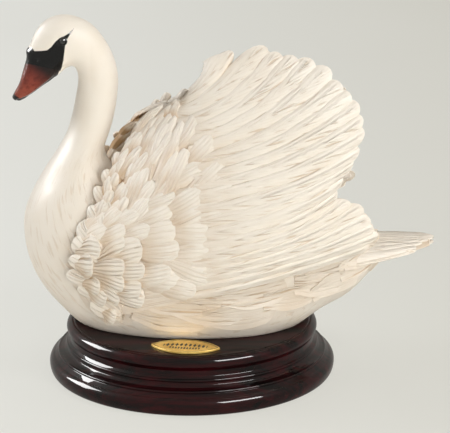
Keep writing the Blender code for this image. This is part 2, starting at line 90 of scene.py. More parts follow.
def enclosed_volume(points, faces):
    """Sum over faces of first point . (second x third) / 6, with each quad cut in two."""
    a, b, c, d = (points[faces[:, k]] for k in range(4))
    return (np.einsum("ij,ij->i", a, np.cross(b, c)) + np.einsum("ij,ij->i", a, np.cross(c, d))).sum() / 6


def add_piece(name, points, faces, finish, values=None, node=None, sharp=50.0):
    """New piece from points in millimetres and quads; values are its point attributes."""
    points, faces = points.reshape(-1, 3), np.asarray(faces)
    if enclosed_volume(points, faces) < 0:
        faces = faces[:, ::-1]
    rings = [[p for i, p in enumerate(f) if p != f[i - 1]] for f in faces.tolist()]
    mesh = bpy.data.meshes.new(name)
    mesh.from_pydata((points * MM).tolist(), [], rings)
    for key, value in (values or {}).items():
        value = np.asarray(value, dtype=np.float32)
        is_vector = value.ndim > 1 and value.shape[-1] == 3
        kind, field = ("FLOAT_VECTOR", "vector") if is_vector else ("FLOAT", "value")
        mesh.attributes.new(key, kind, "POINT").data.foreach_set(field, value.ravel())
    mesh.shade_smooth()
    mesh.set_sharp_from_angle(angle=math.radians(sharp))
    mesh.materials.append(finish)
    piece = bpy.data.objects.new(name, mesh)
    bpy.context.scene.collection.objects.link(piece)
    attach(piece, "root")
    if node:
        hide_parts(node)
    print(f"{name}: {len(points)} points, {len(rings)} faces")


# %% Curves and steps
def smooth_curve(points, samples):
    """Catmull-Rom curve through the points, read at samples from 0 to 1, of any array shape."""
    pts = np.asarray(points, dtype=float)
    padded = np.vstack([2 * pts[0] - pts[1], pts, 2 * pts[-1] - pts[-2]])
    place = np.clip(samples, 0.0, 1.0) * (len(pts) - 1)
    first = np.minimum(np.asarray(place, dtype=int), len(pts) - 2)
    t = (place - first)[..., None]
    p0, p1, p2, p3 = (padded[first + k] for k in range(4))
    return 0.5 * (2 * p1 + (p2 - p0) * t + (2 * p0 - 5 * p1 + 4 * p2 - p3) * t ** 2
                  + (3 * p1 - p0 - 3 * p2 + p3) * t ** 3)


def smoothstep(value):
    """0 below 0, 1 above 1 and an eased step between."""
    t = np.clip(value, 0.0, 1.0)
    return t * t * (3.0 - 2.0 * t)


# %% [markdown]
# ## Finishes: shader groups
# The carved lines of a feather run fan-wise in a covert and slantwise in a flight feather. The
# mesh carries that as an attribute, "carving": across the lines, along them, and a number of
# its own for each feather. One group turns it into fine broken lines. The other paints shade into
# the ivory's colour, a tan darkening in hollows, under feathers and on faces turned from the light,
# and gives the carved lines the same tan.

# %% Node helpers
def new_group(name, inputs, outputs):
    """Shader group with named sockets; returns the group, its links and its two end nodes."""
    group = bpy.data.node_groups.new(name, "ShaderNodeTree")
    for label, kind, value in inputs:
        socket = group.interface.new_socket(label, in_out="INPUT", socket_type=kind)
        if value is not None:
            socket.default_value = value
    for label, kind in outputs:
        group.interface.new_socket(label, in_out="OUTPUT", socket_type=kind)
    return group, group.nodes.new("NodeGroupInput"), group.nodes.new("NodeGroupOutput")


def node(tree, kind, values=None, **settings):
    """New node with its settings and the values or links of its input sockets."""
    made = tree.nodes.new(kind)
    for key, value in settings.items():
        setattr(made, key, value)
    for key, value in (values or {}).items():
        if isinstance(value, bpy.types.NodeSocket):
            tree.links.new(value, made.inputs[key])
        else:
            made.inputs[key].default_value = value
    return made


def maths(tree, operation, a, b=0.0, clamp=False):
    """Output of one Math node."""
    return node(tree, "ShaderNodeMath", {0: a, 1: b}, operation=operation, use_clamp=clamp).outputs[0]


def ramp(tree, value, low, high, to_low=0.0, to_high=1.0):
    """value from low..high eased to to_low..to_high."""
    sockets = {0: value, 1: low, 2: high, 3: to_low, 4: to_high}
    return node(tree, "ShaderNodeMapRange", sockets, interpolation_type="SMOOTHSTEP").outputs[0]


def mixed(tree, factor, a, b):
    """Colour between a and b."""
    return node(tree, "ShaderNodeMix", {0: factor, 6: a, 7: b}, data_type="RGBA").outputs[2]


def object_place(tree):
    """Object coordinates, which are metres in the part's own frame."""
    return tree.nodes.new("ShaderNodeTexCoord").outputs["Object"]


def noise(tree, vector, scale, detail, roughness=0.5, distortion=0.0):
    """Factor of a noise texture, about 0.5 in the middle."""
    sockets = {"Vector": vector, "Scale": scale, "Detail": detail, "Roughness": roughness,
               "Distortion": distortion}
    return node(tree, "ShaderNodeTexNoise", sockets).outputs[0]


def bumped(tree, height, distance, strength=1.0):
    """Normal bent by a height whose unit is distance, in metres."""
    sockets = {"Height": height, "Distance": distance, "Strength": strength}
    return node(tree, "ShaderNodeBump", sockets).outputs[0]


def feed(tree, end, **links):
    """Link outputs to inputs of a node; an underscore stands for the space in an input's name."""
    for key, output in links.items():
        tree.links.new(output, end.inputs[key.replace("_", " ")])


def colour(red, green, blue):
    """Linear colour of an 0-255 screen colour."""
    part = np.array((red, green, blue)) / 255.0
    linear = np.where(part <= 0.04045, part / 12.92, ((part + 0.055) / 1.055) ** 2.4)
    return (*linear.tolist(), 1.0)


def new_material(name, **constants):
    """Material with a Principled shader, whose constants are set on its own sockets."""
    made = bpy.data.materials.new(name)
    made.use_nodes = True
    tree = made.node_tree
    shader = tree.nodes["Principled BSDF"]
    for key, value in constants.items():
        shader.inputs[key.replace("_", " ")].default_value = value
    return made, tree, shader


# %% Carved lines
carved_lines, ends_in, ends_out = new_group(
    "carved_lines",
    [("Carving", "NodeSocketVector", None), ("Sparse", "NodeSocketFloat", 0.5),
     ("Ribbing", "NodeSocketFloat", 0.0)],
    [("Lines", "NodeSocketFloat"), ("Height", "NodeSocketFloat")])
tree = carved_lines
carving = ends_in.outputs["Carving"]
sparse = ends_in.outputs["Sparse"]
STROKE_EDGE, RIB_PITCH, WANDER = 0.11, 4.4, (1.3, 0.5, 0.0)
wander = node(tree, "ShaderNodeTexNoise", {"Vector": carving, "Scale": 0.3, "Detail": 1.0})
bend = node(tree, "ShaderNodeVectorMath", {0: wander.outputs["Color"], 1: WANDER}, operation="MULTIPLY")
moved = node(tree, "ShaderNodeVectorMath", {0: carving, 1: bend.outputs[0]}, operation="ADD").outputs[0]
strokes = noise(tree, moved, 1.0, 2.0, 0.45)
cut = ramp(tree, strokes, sparse, maths(tree, "ADD", sparse, STROKE_EDGE))
fall = maths(tree, "ADD", maths(tree, "MULTIPLY", cut, -1.0), maths(tree, "MULTIPLY", strokes, -1.4))
across_lines = node(tree, "ShaderNodeSeparateXYZ", {0: moved}).outputs[0]
wave = maths(tree, "COSINE", maths(tree, "MULTIPLY", across_lines, RIB_PITCH))
grooves = maths(tree, "MULTIPLY", ramp(tree, wave, 0.35, 1.0), ends_in.outputs["Ribbing"])
feed(tree, ends_out, Height=maths(tree, "SUBTRACT", fall, grooves),
     Lines=maths(tree, "MAXIMUM", cut, maths(tree, "MULTIPLY", grooves, 0.4)))
print("carved_lines:", len(tree.nodes), "nodes")

# %% Ivory with painted shade
ivory_with_painted_shade, ends_in, ends_out = new_group(
    "ivory_with_painted_shade",
    [("Ivory", "NodeSocketColor", colour(247, 239, 227)),
     ("Shade and line tan", "NodeSocketColor", colour(205, 172, 132)),
     ("Painted shade", "NodeSocketFloat", 0.0), ("Lines", "NodeSocketFloat", 0.0)],
    [("Color", "NodeSocketColor"), ("Roughness", "NodeSocketFloat"), ("Grain", "NodeSocketFloat")])
tree = ivory_with_painted_shade
place = object_place(tree)
cloud = noise(tree, place, 28.0, 3.0, 0.6)
patchy = ramp(tree, cloud, 0.3, 0.7, 0.55, 1.35)
# Painted shade: the ivory is darkened towards tan by a point attribute, patchily.
patchy_shade = maths(tree, "MULTIPLY", ends_in.outputs["Painted shade"], patchy, clamp=True)
# The carved lines are tinted towards the same tan.
in_lines = maths(tree, "MULTIPLY", ends_in.outputs["Lines"], 0.46)
amount = maths(tree, "ADD", patchy_shade, in_lines, clamp=True)
warmer = ramp(tree, cloud, 0.42, 0.75, 0.0, 0.4)
resin_colour = mixed(tree, warmer, ends_in.outputs["Ivory"], colour(242, 228, 208))
feed(tree, ends_out, Color=mixed(tree, amount, resin_colour, ends_in.outputs["Shade and line tan"]),
     Roughness=ramp(tree, cloud, 0.3, 0.7, 0.42, 0.56), Grain=noise(tree, place, 900.0, 2.0))
print("ivory_with_painted_shade:", len(tree.nodes), "nodes")


# %% Ivory resin material
def attribute(tree, name, output="Fac"):
    """Output of a point attribute of the piece."""
    return node(tree, "ShaderNodeAttribute", attribute_name=name).outputs[output]


def ivory_resin(name, line_depth, sparse, ribbing=0.0):
    """Ivory resin with carved lines of a depth in millimetres; returns what the head's paint needs."""
    made, tree, shader = new_material(name, Specular_IOR_Level=0.16)
    carving = attribute(tree, "carving", "Vector")
    lines = node(tree, "ShaderNodeGroup", {"Carving": carving, "Sparse": sparse, "Ribbing": ribbing},
                 node_tree=carved_lines)
    depth = attribute(tree, "depth")
    shown = maths(tree, "MULTIPLY", lines.outputs["Lines"], depth)
    # A point attribute of each piece paints shade into the ivory's colour.
    ivory = node(tree, "ShaderNodeGroup", {"Painted shade": attribute(tree, "painted_shade"), "Lines": shown},
                 node_tree=ivory_with_painted_shade)
    grain = maths(tree, "MULTIPLY", ivory.outputs["Grain"], 0.06)
    height = maths(tree, "ADD", maths(tree, "MULTIPLY", lines.outputs["Height"], depth), grain)
    feed(tree, shader, Base_Color=ivory.outputs["Color"], Roughness=ivory.outputs["Roughness"],
         Normal=bumped(tree, height, line_depth * MM))
    return made, tree, shader, ivory


covert_resin = ivory_resin("covert_resin", line_depth=0.55, sparse=0.58, ribbing=0.9)[0]
flight_resin = ivory_resin("flight_resin", line_depth=0.3, sparse=0.575, ribbing=0.3)[0]

# %% [markdown]
# ## Plinth
# The plinth is a disc turned on a lathe from dark red-brown wood under thick gloss lacquer: a
# rounded nose, a cove, two beads and a broad roll. It is a profile carried round the axis. Each
# corner of the profile is rounded a little, since lacquer never leaves a sharp edge, and
# such corners catch the light.

# %% Plinth profile
def arc(centre, radius, start, end, count):
    """Points on a circle, or on an ellipse if radius is a pair, between two angles in degrees."""
    angles = np.radians(np.linspace(start, end, count))
    return np.array(centre) + np.stack([np.cos(angles), np.sin(angles)], -1) * radius


def rounded_corners(points, size, cuts=4):
    """Each inner corner is replaced by a short parabola that starts and ends size away from it."""
    before, corner, after = points[:-2], points[1:-1], points[2:]
    back, ahead = before - corner, after - corner
    long_back, long_ahead = (np.linalg.norm(e, axis=1, keepdims=True) for e in (back, ahead))
    start = corner + back / long_back * np.minimum(size, 0.45 * long_back)
    stop = corner + ahead / long_ahead * np.minimum(size, 0.45 * long_ahead)
    t = np.linspace(0.0, 1.0, cuts)[:, None, None]
    curve = (1 - t) ** 2 * start + 2 * t * (1 - t) * corner + t ** 2 * stop
    return np.vstack([points[:1], curve.transpose(1, 0, 2).reshape(-1, 2), points[-1:]])


half_section = np.vstack([
    [(40.0, 34.0), (75.8, 34.0), (76.5, 33.5)], arc((76.6, 29.6), 4.4, 78, -48, 22),
    [(79.0, 25.2), (79.2, 22.0)], arc((80.5, 19.4), 1.1, 80, -80, 12),
    [(81.2, 16.8), (82.8, 15.6), (85.0, 14.8)], arc((86.0, 13.9), 0.9, 75, -60, 10),
    arc((87.5, 6.2), (5.0, 5.1), 72, 0, 16), arc((90.0, 6.2), (2.5, 5.8), -8, -75, 10),
    [(90.0, 0.4), (84.3, 0.4), (84.3, 1.9), (40.0, 1.9)]])
half_section = rounded_corners(half_section, 0.35)
print("plinth profile points:", len(half_section))


# %% Turn a profile
def turned(profile, steps):
    """Profile (radius, height) carried round the axis and closed on the axis at both ends."""
    angles = np.linspace(0.0, 2 * math.pi, steps, endpoint=False)[None]
    radius, height = profile[:, :1], profile[:, 1:]
    ring = np.stack([radius * np.cos(angles), radius * np.sin(angles), height + 0 * angles], -1)
    poles = np.array([[0.0, 0.0, profile[0, 1]], [0.0, 0.0, profile[-1, 1]]])
    return np.vstack([ring.reshape(-1, 3), poles]), closed_grid(len(profile), steps)


# %% Lacquered wood
lacquered_wood, tree, shader = new_material("lacquered_wood", Coat_Roughness=0.03, Coat_Weight=0.4,
                                            Roughness=0.4, Coat_IOR=1.45, Specular_IOR_Level=0.02)
place = object_place(tree)
along_grain = node(tree, "ShaderNodeMapping", {"Vector": place, "Scale": (9.0, 120.0, 120.0)}).outputs[0]
streaks = ramp(tree, noise(tree, along_grain, 1.0, 5.0, 0.65, 0.6), 0.35, 0.68)
red_brown = mixed(tree, streaks, colour(8, 4, 4), colour(48, 6, 10))
pores = ramp(tree, noise(tree, along_grain, 4.0, 2.0), 0.55, 0.7, 0.0, 0.6)
orange_peel = bumped(tree, noise(tree, place, 160.0, 1.0), 0.05 * MM, 0.5)
feed(tree, shader, Base_Color=mixed(tree, pores, red_brown, colour(20, 8, 9)), Normal=orange_peel,
     Coat_Normal=orange_peel)

# %% Plinth piece
TURNED_STEPS = 240
points, faces = turned(half_section, TURNED_STEPS)
add_piece("turned_plinth", points, faces, lacquered_wood, node="plinth", sharp=35.0)

# %% [markdown]
# ## Body, neck and head
# The skin is a loft: an oval rib stands in each plane through a belly point and a back point,
# from the rump over the breast and up the neck to the beak. The ribs are those of the part.
# Here they are read far more finely, and more finely still on the head, where the paint has
# sharp edges. Where a rib dips under the plinth's top it is cut flat.

# %% Ribs
SEAT_Z = 34.3
RIBS = np.array([
    (121.0, 73.0, 121.0, 86.0, 8.0), (113.0, 64.5, 116.0, 91.0, 18.5),
    (100.0, 51.5, 103.0, 97.0, 28.0), (82.0, 41.0, 87.0, 104.0, 36.0), (62.0, 27.0, 68.0, 110.0, 44.0),
    (38.0, 16.0, 42.0, 114.0, 52.0), (8.0, 13.0, 14.0, 116.0, 56.0), (-22.0, 14.0, -10.0, 117.0, 55.5),
    (-49.0, 20.0, -27.0, 119.0, 51.0), (-69.5, 30.0, -38.0, 122.0, 46.0),
    (-86.5, 46.0, -45.0, 127.0, 42.5), (-97.5, 60.5, -49.0, 133.0, 40.0),
    (-104.5, 77.0, -52.5, 139.0, 36.0), (-107.0, 94.0, -54.5, 143.5, 31.0),
    (-105.5, 108.0, -54.5, 148.5, 26.5), (-99.5, 122.0, -52.5, 154.5, 22.0),
    (-91.5, 135.5, -50.0, 162.0, 18.5), (-84.0, 147.0, -48.3, 169.0, 16.0),
    (-78.5, 157.0, -46.9, 176.5, 14.3), (-75.0, 168.0, -46.0, 184.0, 13.2),
    (-72.3, 180.0, -45.6, 192.5, 12.6), (-70.5, 190.0, -47.5, 203.0, 12.4),
    (-71.0, 196.5, -53.0, 215.0, 12.6), (-73.5, 199.8, -62.0, 226.0, 13.2),
    (-77.0, 199.0, -74.0, 231.7, 13.8), (-80.5, 196.5, -84.5, 231.6, 13.6),
    (-83.0, 194.3, -92.5, 227.0, 12.2), (-85.5, 192.3, -97.5, 219.5, 10.0),
    (-88.0, 190.3, -100.5, 210.5, 8.2), (-92.5, 187.0, -103.8, 200.0, 7.4),
    (-98.0, 182.8, -107.0, 190.0, 7.2), (-103.5, 179.2, -110.5, 183.5, 6.2),
    (-108.5, 176.8, -112.7, 179.0, 3.8)])
LAST_RIB = len(RIBS) - 1
FIRST_HEAD_RIB = 21


def middle_plane_y(x, z):
    """The head is turned a little: the y of its middle plane falls away in front of x = -62."""
    return -0.15 * np.maximum(0.0, -62.0 - x) * smoothstep((z - 196.0) / 25.0 + 1.0)


def skin_ribs(share):
    """Middle, reach and half width of the rib at a share from 0 at the rump to 1 at the beak's tip."""
    rib = smooth_curve(RIBS, share)
    belly, back, half = rib[..., 0:2], rib[..., 2:4], rib[..., 4]
    past = np.clip((share * LAST_RIB - (LAST_RIB - 0.45)) / 0.45, 0.0, 1.0)
    rump = np.clip(1.0 - share * LAST_RIB / 0.5, 0.0, 1.0)
    close = np.sqrt(np.maximum(1.0 - np.maximum(past, rump) ** 2.6, 0.0))
    return (belly + back) / 2, (back - belly) / 2 * close[..., None], half * close


def skin_point(share, angle):
    """Point on the oval rib: angle 0 is the back, pi the belly; it isn't let below the seat."""
    middle, reach, half = skin_ribs(share)
    x = middle[..., 0] + reach[..., 0] * np.cos(angle)
    z = middle[..., 1] + reach[..., 1] * np.cos(angle)
    y = half * np.sin(angle) + middle_plane_y(x, z)
    return np.stack([x, y, np.maximum(z, SEAT_Z)], -1)


# %% Skin grid
AROUND_SIDES, AROUND_FLAT = 118, 26
BODY_STEP, HEAD_STEP = 1 / 7, 1 / 16
share_of_rib = np.concatenate([np.arange(0, FIRST_HEAD_RIB, BODY_STEP),
                               np.arange(FIRST_HEAD_RIB, LAST_RIB, HEAD_STEP),
                               [LAST_RIB - 0.02, LAST_RIB]]) / LAST_RIB
# The first and the last ring stay a hair inside the two ends, where the ribs close to a point.
share_of_rib[0] = 0.0005
share_of_rib[-1] = 1.0 - 0.00005
middle, reach, half = skin_ribs(share_of_rib)
flat_edge = -math.cos(math.pi * AROUND_FLAT / (AROUND_SIDES + AROUND_FLAT))
seat_cosine = np.maximum((SEAT_Z - middle[:, 1]) / np.maximum(reach[:, 1], 0.01), flat_edge)
meets = np.arccos(np.clip(seat_cosine, -1, 1))
sides = meets[:, None] * np.linspace(-1.0, 1.0, AROUND_SIDES)
flat = meets[:, None] + (2 * math.pi - 2 * meets[:, None]) * np.linspace(0.0, 1.0, AROUND_FLAT + 2)[1:-1]
angle = np.hstack([sides, flat])
share = np.repeat(share_of_rib[:, None], angle.shape[1], 1)
skin = skin_point(share, angle)
rib_number = share * LAST_RIB
print("skin grid:", skin.shape)


# %% [markdown]
# The paint on the head has sharp edges: a black mask from the eye to the knob, with a thin streak
# behind the eye, and a red-brown bill with a black nail. The mesh stores how far each point is
# from the mask's outline as seen from the side, and the material turns that distance into
# an edge, which stays crisp between points.

# %% Paint outlines
MASK = np.array([
    (-108.0, 211.6), (-101.9, 211.6), (-100.0, 211.7), (-98.2, 210.1), (-95.1, 209.8), (-91.3, 209.8),
    (-88.2, 210.1), (-85.7, 212.0), (-83.1, 215.2), (-80.6, 217.4), (-77.4, 218.7), (-74.9, 220.3),
    (-71.1, 224.1), (-74.3, 219.0), (-75.9, 216.5), (-76.9, 213.3), (-77.6, 208.9), (-78.4, 203.8),
    (-79.7, 199.3), (-81.0, 196.8), (-84.1, 197.7), (-87.8, 198.7), (-91.6, 199.7), (-95.3, 200.6),
    (-99.0, 201.6), (-108.0, 202.8)])
BILL = np.array([(-81.3, 197.4), (-84.1, 198.3), (-87.8, 199.3), (-91.6, 200.3), (-95.3, 201.2),
                 (-99.0, 202.2), (-108.0, 203.4), (-122.0, 192.0), (-116.0, 168.0), (-98.0, 172.0),
                 (-86.0, 188.0)])
GAPE = np.array([(-81.0, 196.8), (-86.1, 192.3), (-91.2, 188.2), (-96.4, 184.0), (-100.8, 180.8),
                 (-105.9, 178.5), (-109.1, 177.6)])
SLANT = 0.206
FAR_OFF = 9.0


def distance_to_line(points, line, closed):
    """Least distance from each point to the segments of a line."""
    start = line if closed else line[:-1]
    end = np.roll(line, -1, 0) if closed else line[1:]
    edge = end - start
    gap = points[:, None] - start[None]
    t = np.clip((gap * edge).sum(-1) / (edge ** 2).sum(-1), 0.0, 1.0)
    return np.linalg.norm(gap - t[..., None] * edge, axis=-1).min(1)


def inside(points, ring):
    """Even-odd rule: a point is inside if a ray to the right crosses the ring an odd number of times."""
    a, b = ring[None], np.roll(ring, -1, 0)[None]
    x, y = points[:, :1], points[:, 1:]
    spans = (a[..., 1] > y) != (b[..., 1] > y)
    rise = np.where(b[..., 1] == a[..., 1], 1e-9, b[..., 1] - a[..., 1])
    return (spans & (x < (b[..., 0] - a[..., 0]) * (y - a[..., 1]) / rise + a[..., 0])).sum(1) % 2 == 1


def head_view(points):
    """(x, height) of points as seen along the slant of the camera, the same from both sides."""
    aside = np.abs(points[:, 1] - middle_plane_y(points[:, 0], points[:, 2]))
    return np.stack([points[:, 0], points[:, 2] - SLANT * aside], -1)


# %% Distances to the paint's outlines
KNOB_TOP, KNOB_RADIUS = (-99.6, 208.9), 3.2
BILL_RIB, GAPE_RIB = 24.0, 26.5
BILL_START, BILL_END = np.array((-92.0, 200.5)), np.array((-110.8, 178.0))
seen = head_view(skin.reshape(-1, 3))


def signed_distance(outline):
    """Distance to a closed outline, negative inside it."""
    return distance_to_line(seen, outline, True) * np.where(inside(seen, outline), -1.0, 1.0)


mask_distance = np.minimum(signed_distance(MASK), np.linalg.norm(seen - KNOB_TOP, axis=1) - KNOB_RADIUS)
bill_distance = np.where(rib_number.ravel() > BILL_RIB, signed_distance(BILL), FAR_OFF)
gape_distance = distance_to_line(seen, GAPE, False)
bill_length = np.linalg.norm(BILL_END - BILL_START)
along_bill = (seen - BILL_START) @ ((BILL_END - BILL_START) / bill_length) / bill_length
print("points under the mask:", int((mask_distance < 0).sum()))


# %% Shape the skin's details
def bell(points, centre, size):
    """1 at the centre, and exp(-r squared) at a distance of r times the size."""
    return np.exp(-(np.linalg.norm((points - centre) / size, axis=1)) ** 2)


GAPE_GROOVE = 0.55
wrapped = np.concatenate([skin[:, -1:], skin, skin[:, :1]], 1)
normal = np.cross(np.gradient(skin, axis=0), wrapped[:, 2:] - wrapped[:, :-2])
normal /= np.maximum(np.linalg.norm(normal, axis=-1, keepdims=True), 1e-9)
normal *= np.sign((normal * (skin - skin.mean(1, keepdims=True))).sum(-1).mean())
groove = GAPE_GROOVE * np.exp(-(gape_distance / GAPE_GROOVE) ** 2) * (rib_number.ravel() > GAPE_RIB)
nostril = bell(seen, (-95.4, 203.9), (1.6, 0.9))
socket = 0.9 * bell(seen, (-79.8, 215.6), (3.6, 3.0))
brow = 0.5 * bell(seen, (-82.0, 219.8), (5.0, 2.0))
knob = 1.7 * bell(skin.reshape(-1, 3), (-99.6, -5.6, 209.8), (3.2, 5.0, 3.0))
push = (brow + knob - groove - nostril - socket).reshape(share.shape)
carved_skin = skin + normal * push[..., None] * (skin[..., 2:] > SEAT_Z + 1)
print("raised by", push.max().round(2), "and cut by", -push.min().round(2), "mm")

# %% Skin attributes
GIRTH_RADIUS, LINE_SPACING, LINE_LENGTH = 26.0, 1.5, 7.0
side_line = skin[:, AROUND_SIDES // 2]
steps_along = np.linalg.norm(np.diff(side_line, axis=0), axis=1)
length_along = np.concatenate([[0], np.cumsum(steps_along)])[:, None]
length_around = np.abs(np.where(angle > math.pi, 2 * math.pi - angle, angle)) * GIRTH_RADIUS
skin_carving = np.stack([length_around / LINE_SPACING, length_along / LINE_LENGTH + 0 * angle,
                         0 * angle + 3.0], -1)
neck_fade = smoothstep((17.0 - rib_number) / 3.5)
low_side = smoothstep((96.0 - skin[..., 2]) / 40.0)
front = smoothstep((-40.0 - skin[..., 0]) / 40.0)
skin_depth = np.maximum(neck_fade * 0.45, 0.03) * (rib_number < 22)
# Painted shade on the skin: a little on the front of the breast and more low on the body.
skin_painted_shade = 0.04 * neck_fade * front + 0.05 * low_side

# %% [markdown]
# The painted skin keeps the ivory resin below and lays the paint over it: black with a soft gloss
# on the mask, a bill that goes from black through red-brown to a lighter tip, and a dark gape line.

# %% Painted skin material
painted_skin, tree, shader, ivory = ivory_resin("painted_skin", line_depth=0.35, sparse=0.56)
bill = attribute(tree, "bill")
mottle = ramp(tree, noise(tree, object_place(tree), 260.0, 3.0, 0.6), 0.4, 0.7, 0.0, 0.55)
red = mixed(tree, ramp(tree, bill, 0.15, 0.9), colour(128, 56, 46), colour(152, 74, 56))
red = mixed(tree, mottle, red, colour(84, 34, 27))
red = mixed(tree, ramp(tree, bill, 0.0, 0.42), colour(34, 24, 23), red)
red = mixed(tree, ramp(tree, bill, 0.86, 0.91), red, colour(26, 20, 20))
red = mixed(tree, ramp(tree, attribute(tree, "gape"), 0.35, 0.95, 0.9, 0.0), red, colour(22, 12, 12))
mask = ramp(tree, attribute(tree, "mask"), -0.25, 0.25, 1.0, 0.0)
on_bill = ramp(tree, attribute(tree, "bill_edge"), -0.2, 0.2, 1.0, 0.0)
shade = mixed(tree, mask, mixed(tree, on_bill, ivory.outputs["Color"], red), colour(16, 16, 17))
painted = maths(tree, "MAXIMUM", mask, on_bill)
gloss = node(tree, "ShaderNodeMix", {0: painted, 2: ivory.outputs["Roughness"], 3: 0.24}).outputs[0]
feed(tree, shader, Base_Color=shade, Roughness=gloss, Coat_Weight=maths(tree, "MULTIPLY", painted, 0.2))
shader.inputs["Coat Roughness"].default_value = 0.12

# %% Skin piece
def with_ends(values):
    """A grid's values with those of its two end points added."""
    values = values.reshape(angle.size, -1)
    return np.vstack([values, values[:1], values[-1:]]).squeeze()


skin_values = {"carving": skin_carving, "depth": skin_depth, "painted_shade": skin_painted_shade, "mask": mask_distance,
               "bill": along_bill, "bill_edge": bill_distance, "gape": gape_distance}
skin_values = {key: with_ends(value) for key, value in skin_values.items()}
skin_points = np.vstack([carved_skin.reshape(-1, 3), carved_skin[0].mean(0), carved_skin[-1].mean(0)])
add_piece("swan_skin", skin_points, closed_grid(*angle.shape), painted_skin, skin_values, "swan",
          60.0)

# %% [markdown]
# ## Feathers
# A feather is a closed tongue. Its top is crowned, with a shaft along its middle and a rolled rim,
# and its end is round. It starts under the surface and rises towards its tip, so each row steps
# down to the next as shingles do. A whole set is computed at once, as one array of
# feathers x rows x columns. Seeded irregularities keep the rows from looking printed.

# %% Feather shape
def tongue_grid(rows, columns):
    """Shares along (0 root, 1 tip) and across (-1 to 1) of a feather; columns crowd at its rims."""
    along = np.linspace(0.0, 1.0, rows) ** 0.85
    across = np.sin(np.linspace(-math.pi / 2, math.pi / 2, columns))
    return np.meshgrid(along, across, indexing="ij")


def feather_heights(t, s, rise, crown, shaft, tilt, thick, shaft_at=0.0):
    """Top: rise to the tip, crown across, shaft ridge and a rim that rolls down. Bottom: thick below."""
    lip = 0.55 * thick * (np.abs(s) ** 6 + t ** 10)
    ridge = shaft * np.exp(-((s - shaft_at) / 0.16) ** 2) * (1 - t ** 4)
    top = rise * (t ** 1.2 * 1.15 - 0.15) + crown * (1 - s ** 2) + ridge + tilt * s * t
    return top - lip, top - thick + 0 * s


def round_end(s):
    """How far a feather's rim stays behind its tip: 0 in the middle, nearly 1 at the sides."""
    return 1.0 - np.sqrt(np.maximum(1.0 - 0.97 * s ** 2, 0.0))


def per_feather(count, *values):
    """Each value as one number a feather, in an array that meets the feather's own grid."""
    return [np.broadcast_to(np.asarray(x, float), (count,))[:, None, None] for x in values]


def two_faces(point, normal, top, bottom, carving, depth, painted_shade, shade_below=0.0):
    """Points of the outer and inner faces, laid off along the normal, and the attributes of both."""
    points = np.stack([point + normal * top[..., None], point + normal * bottom[..., None]], 1)
    # The inner face is given extra painted shade.
    values = {"carving": np.stack([carving, carving], 1), "depth": np.stack([depth, depth], 1),
              "painted_shade": np.stack([painted_shade, painted_shade + shade_below], 1)}
    return points.reshape(-1, 3), values


def shell_faces(sets, rows, columns):
    """Quads of closed shells: a top grid, a bottom grid and the strip between their rims."""
    index = np.arange(rows * columns).reshape(rows, columns)
    rim = np.concatenate([index[0], index[1:, -1], index[-1, -2::-1], index[-2:0:-1, 0]])
    ahead = np.roll(rim, -1)
    size = rows * columns
    strip = np.stack([ahead, rim, rim + size, ahead + size], 1)
    one = np.vstack([quads(index), quads(index + size)[:, ::-1], strip])
    return (one[None] + (np.arange(sets) * 2 * size)[:, None, None]).reshape(-1, 4)


def surface_frame(surface, u, v, step=0.004):
    """Point, the two tangents and the unit normal of a surface of two parameters."""
    point = surface(u, v)
    along = (surface(u + step, v) - surface(u - step, v)) / (2 * step)
    across = (surface(u, v + step) - surface(u, v - step)) / (2 * step)
    normal = np.cross(across, along)
    return point, along, across, normal / np.maximum(np.linalg.norm(normal, axis=-1, keepdims=True), 1e-9)


def square_tangents(along, across):
    """Unit tangents at right angles: the one along u, and the one on v's side of it."""
    side = across - along * ((across * along).sum(-1) / (along ** 2).sum(-1))[:, None]
    return [way / np.linalg.norm(way, axis=-1, keepdims=True) for way in (along, side)]


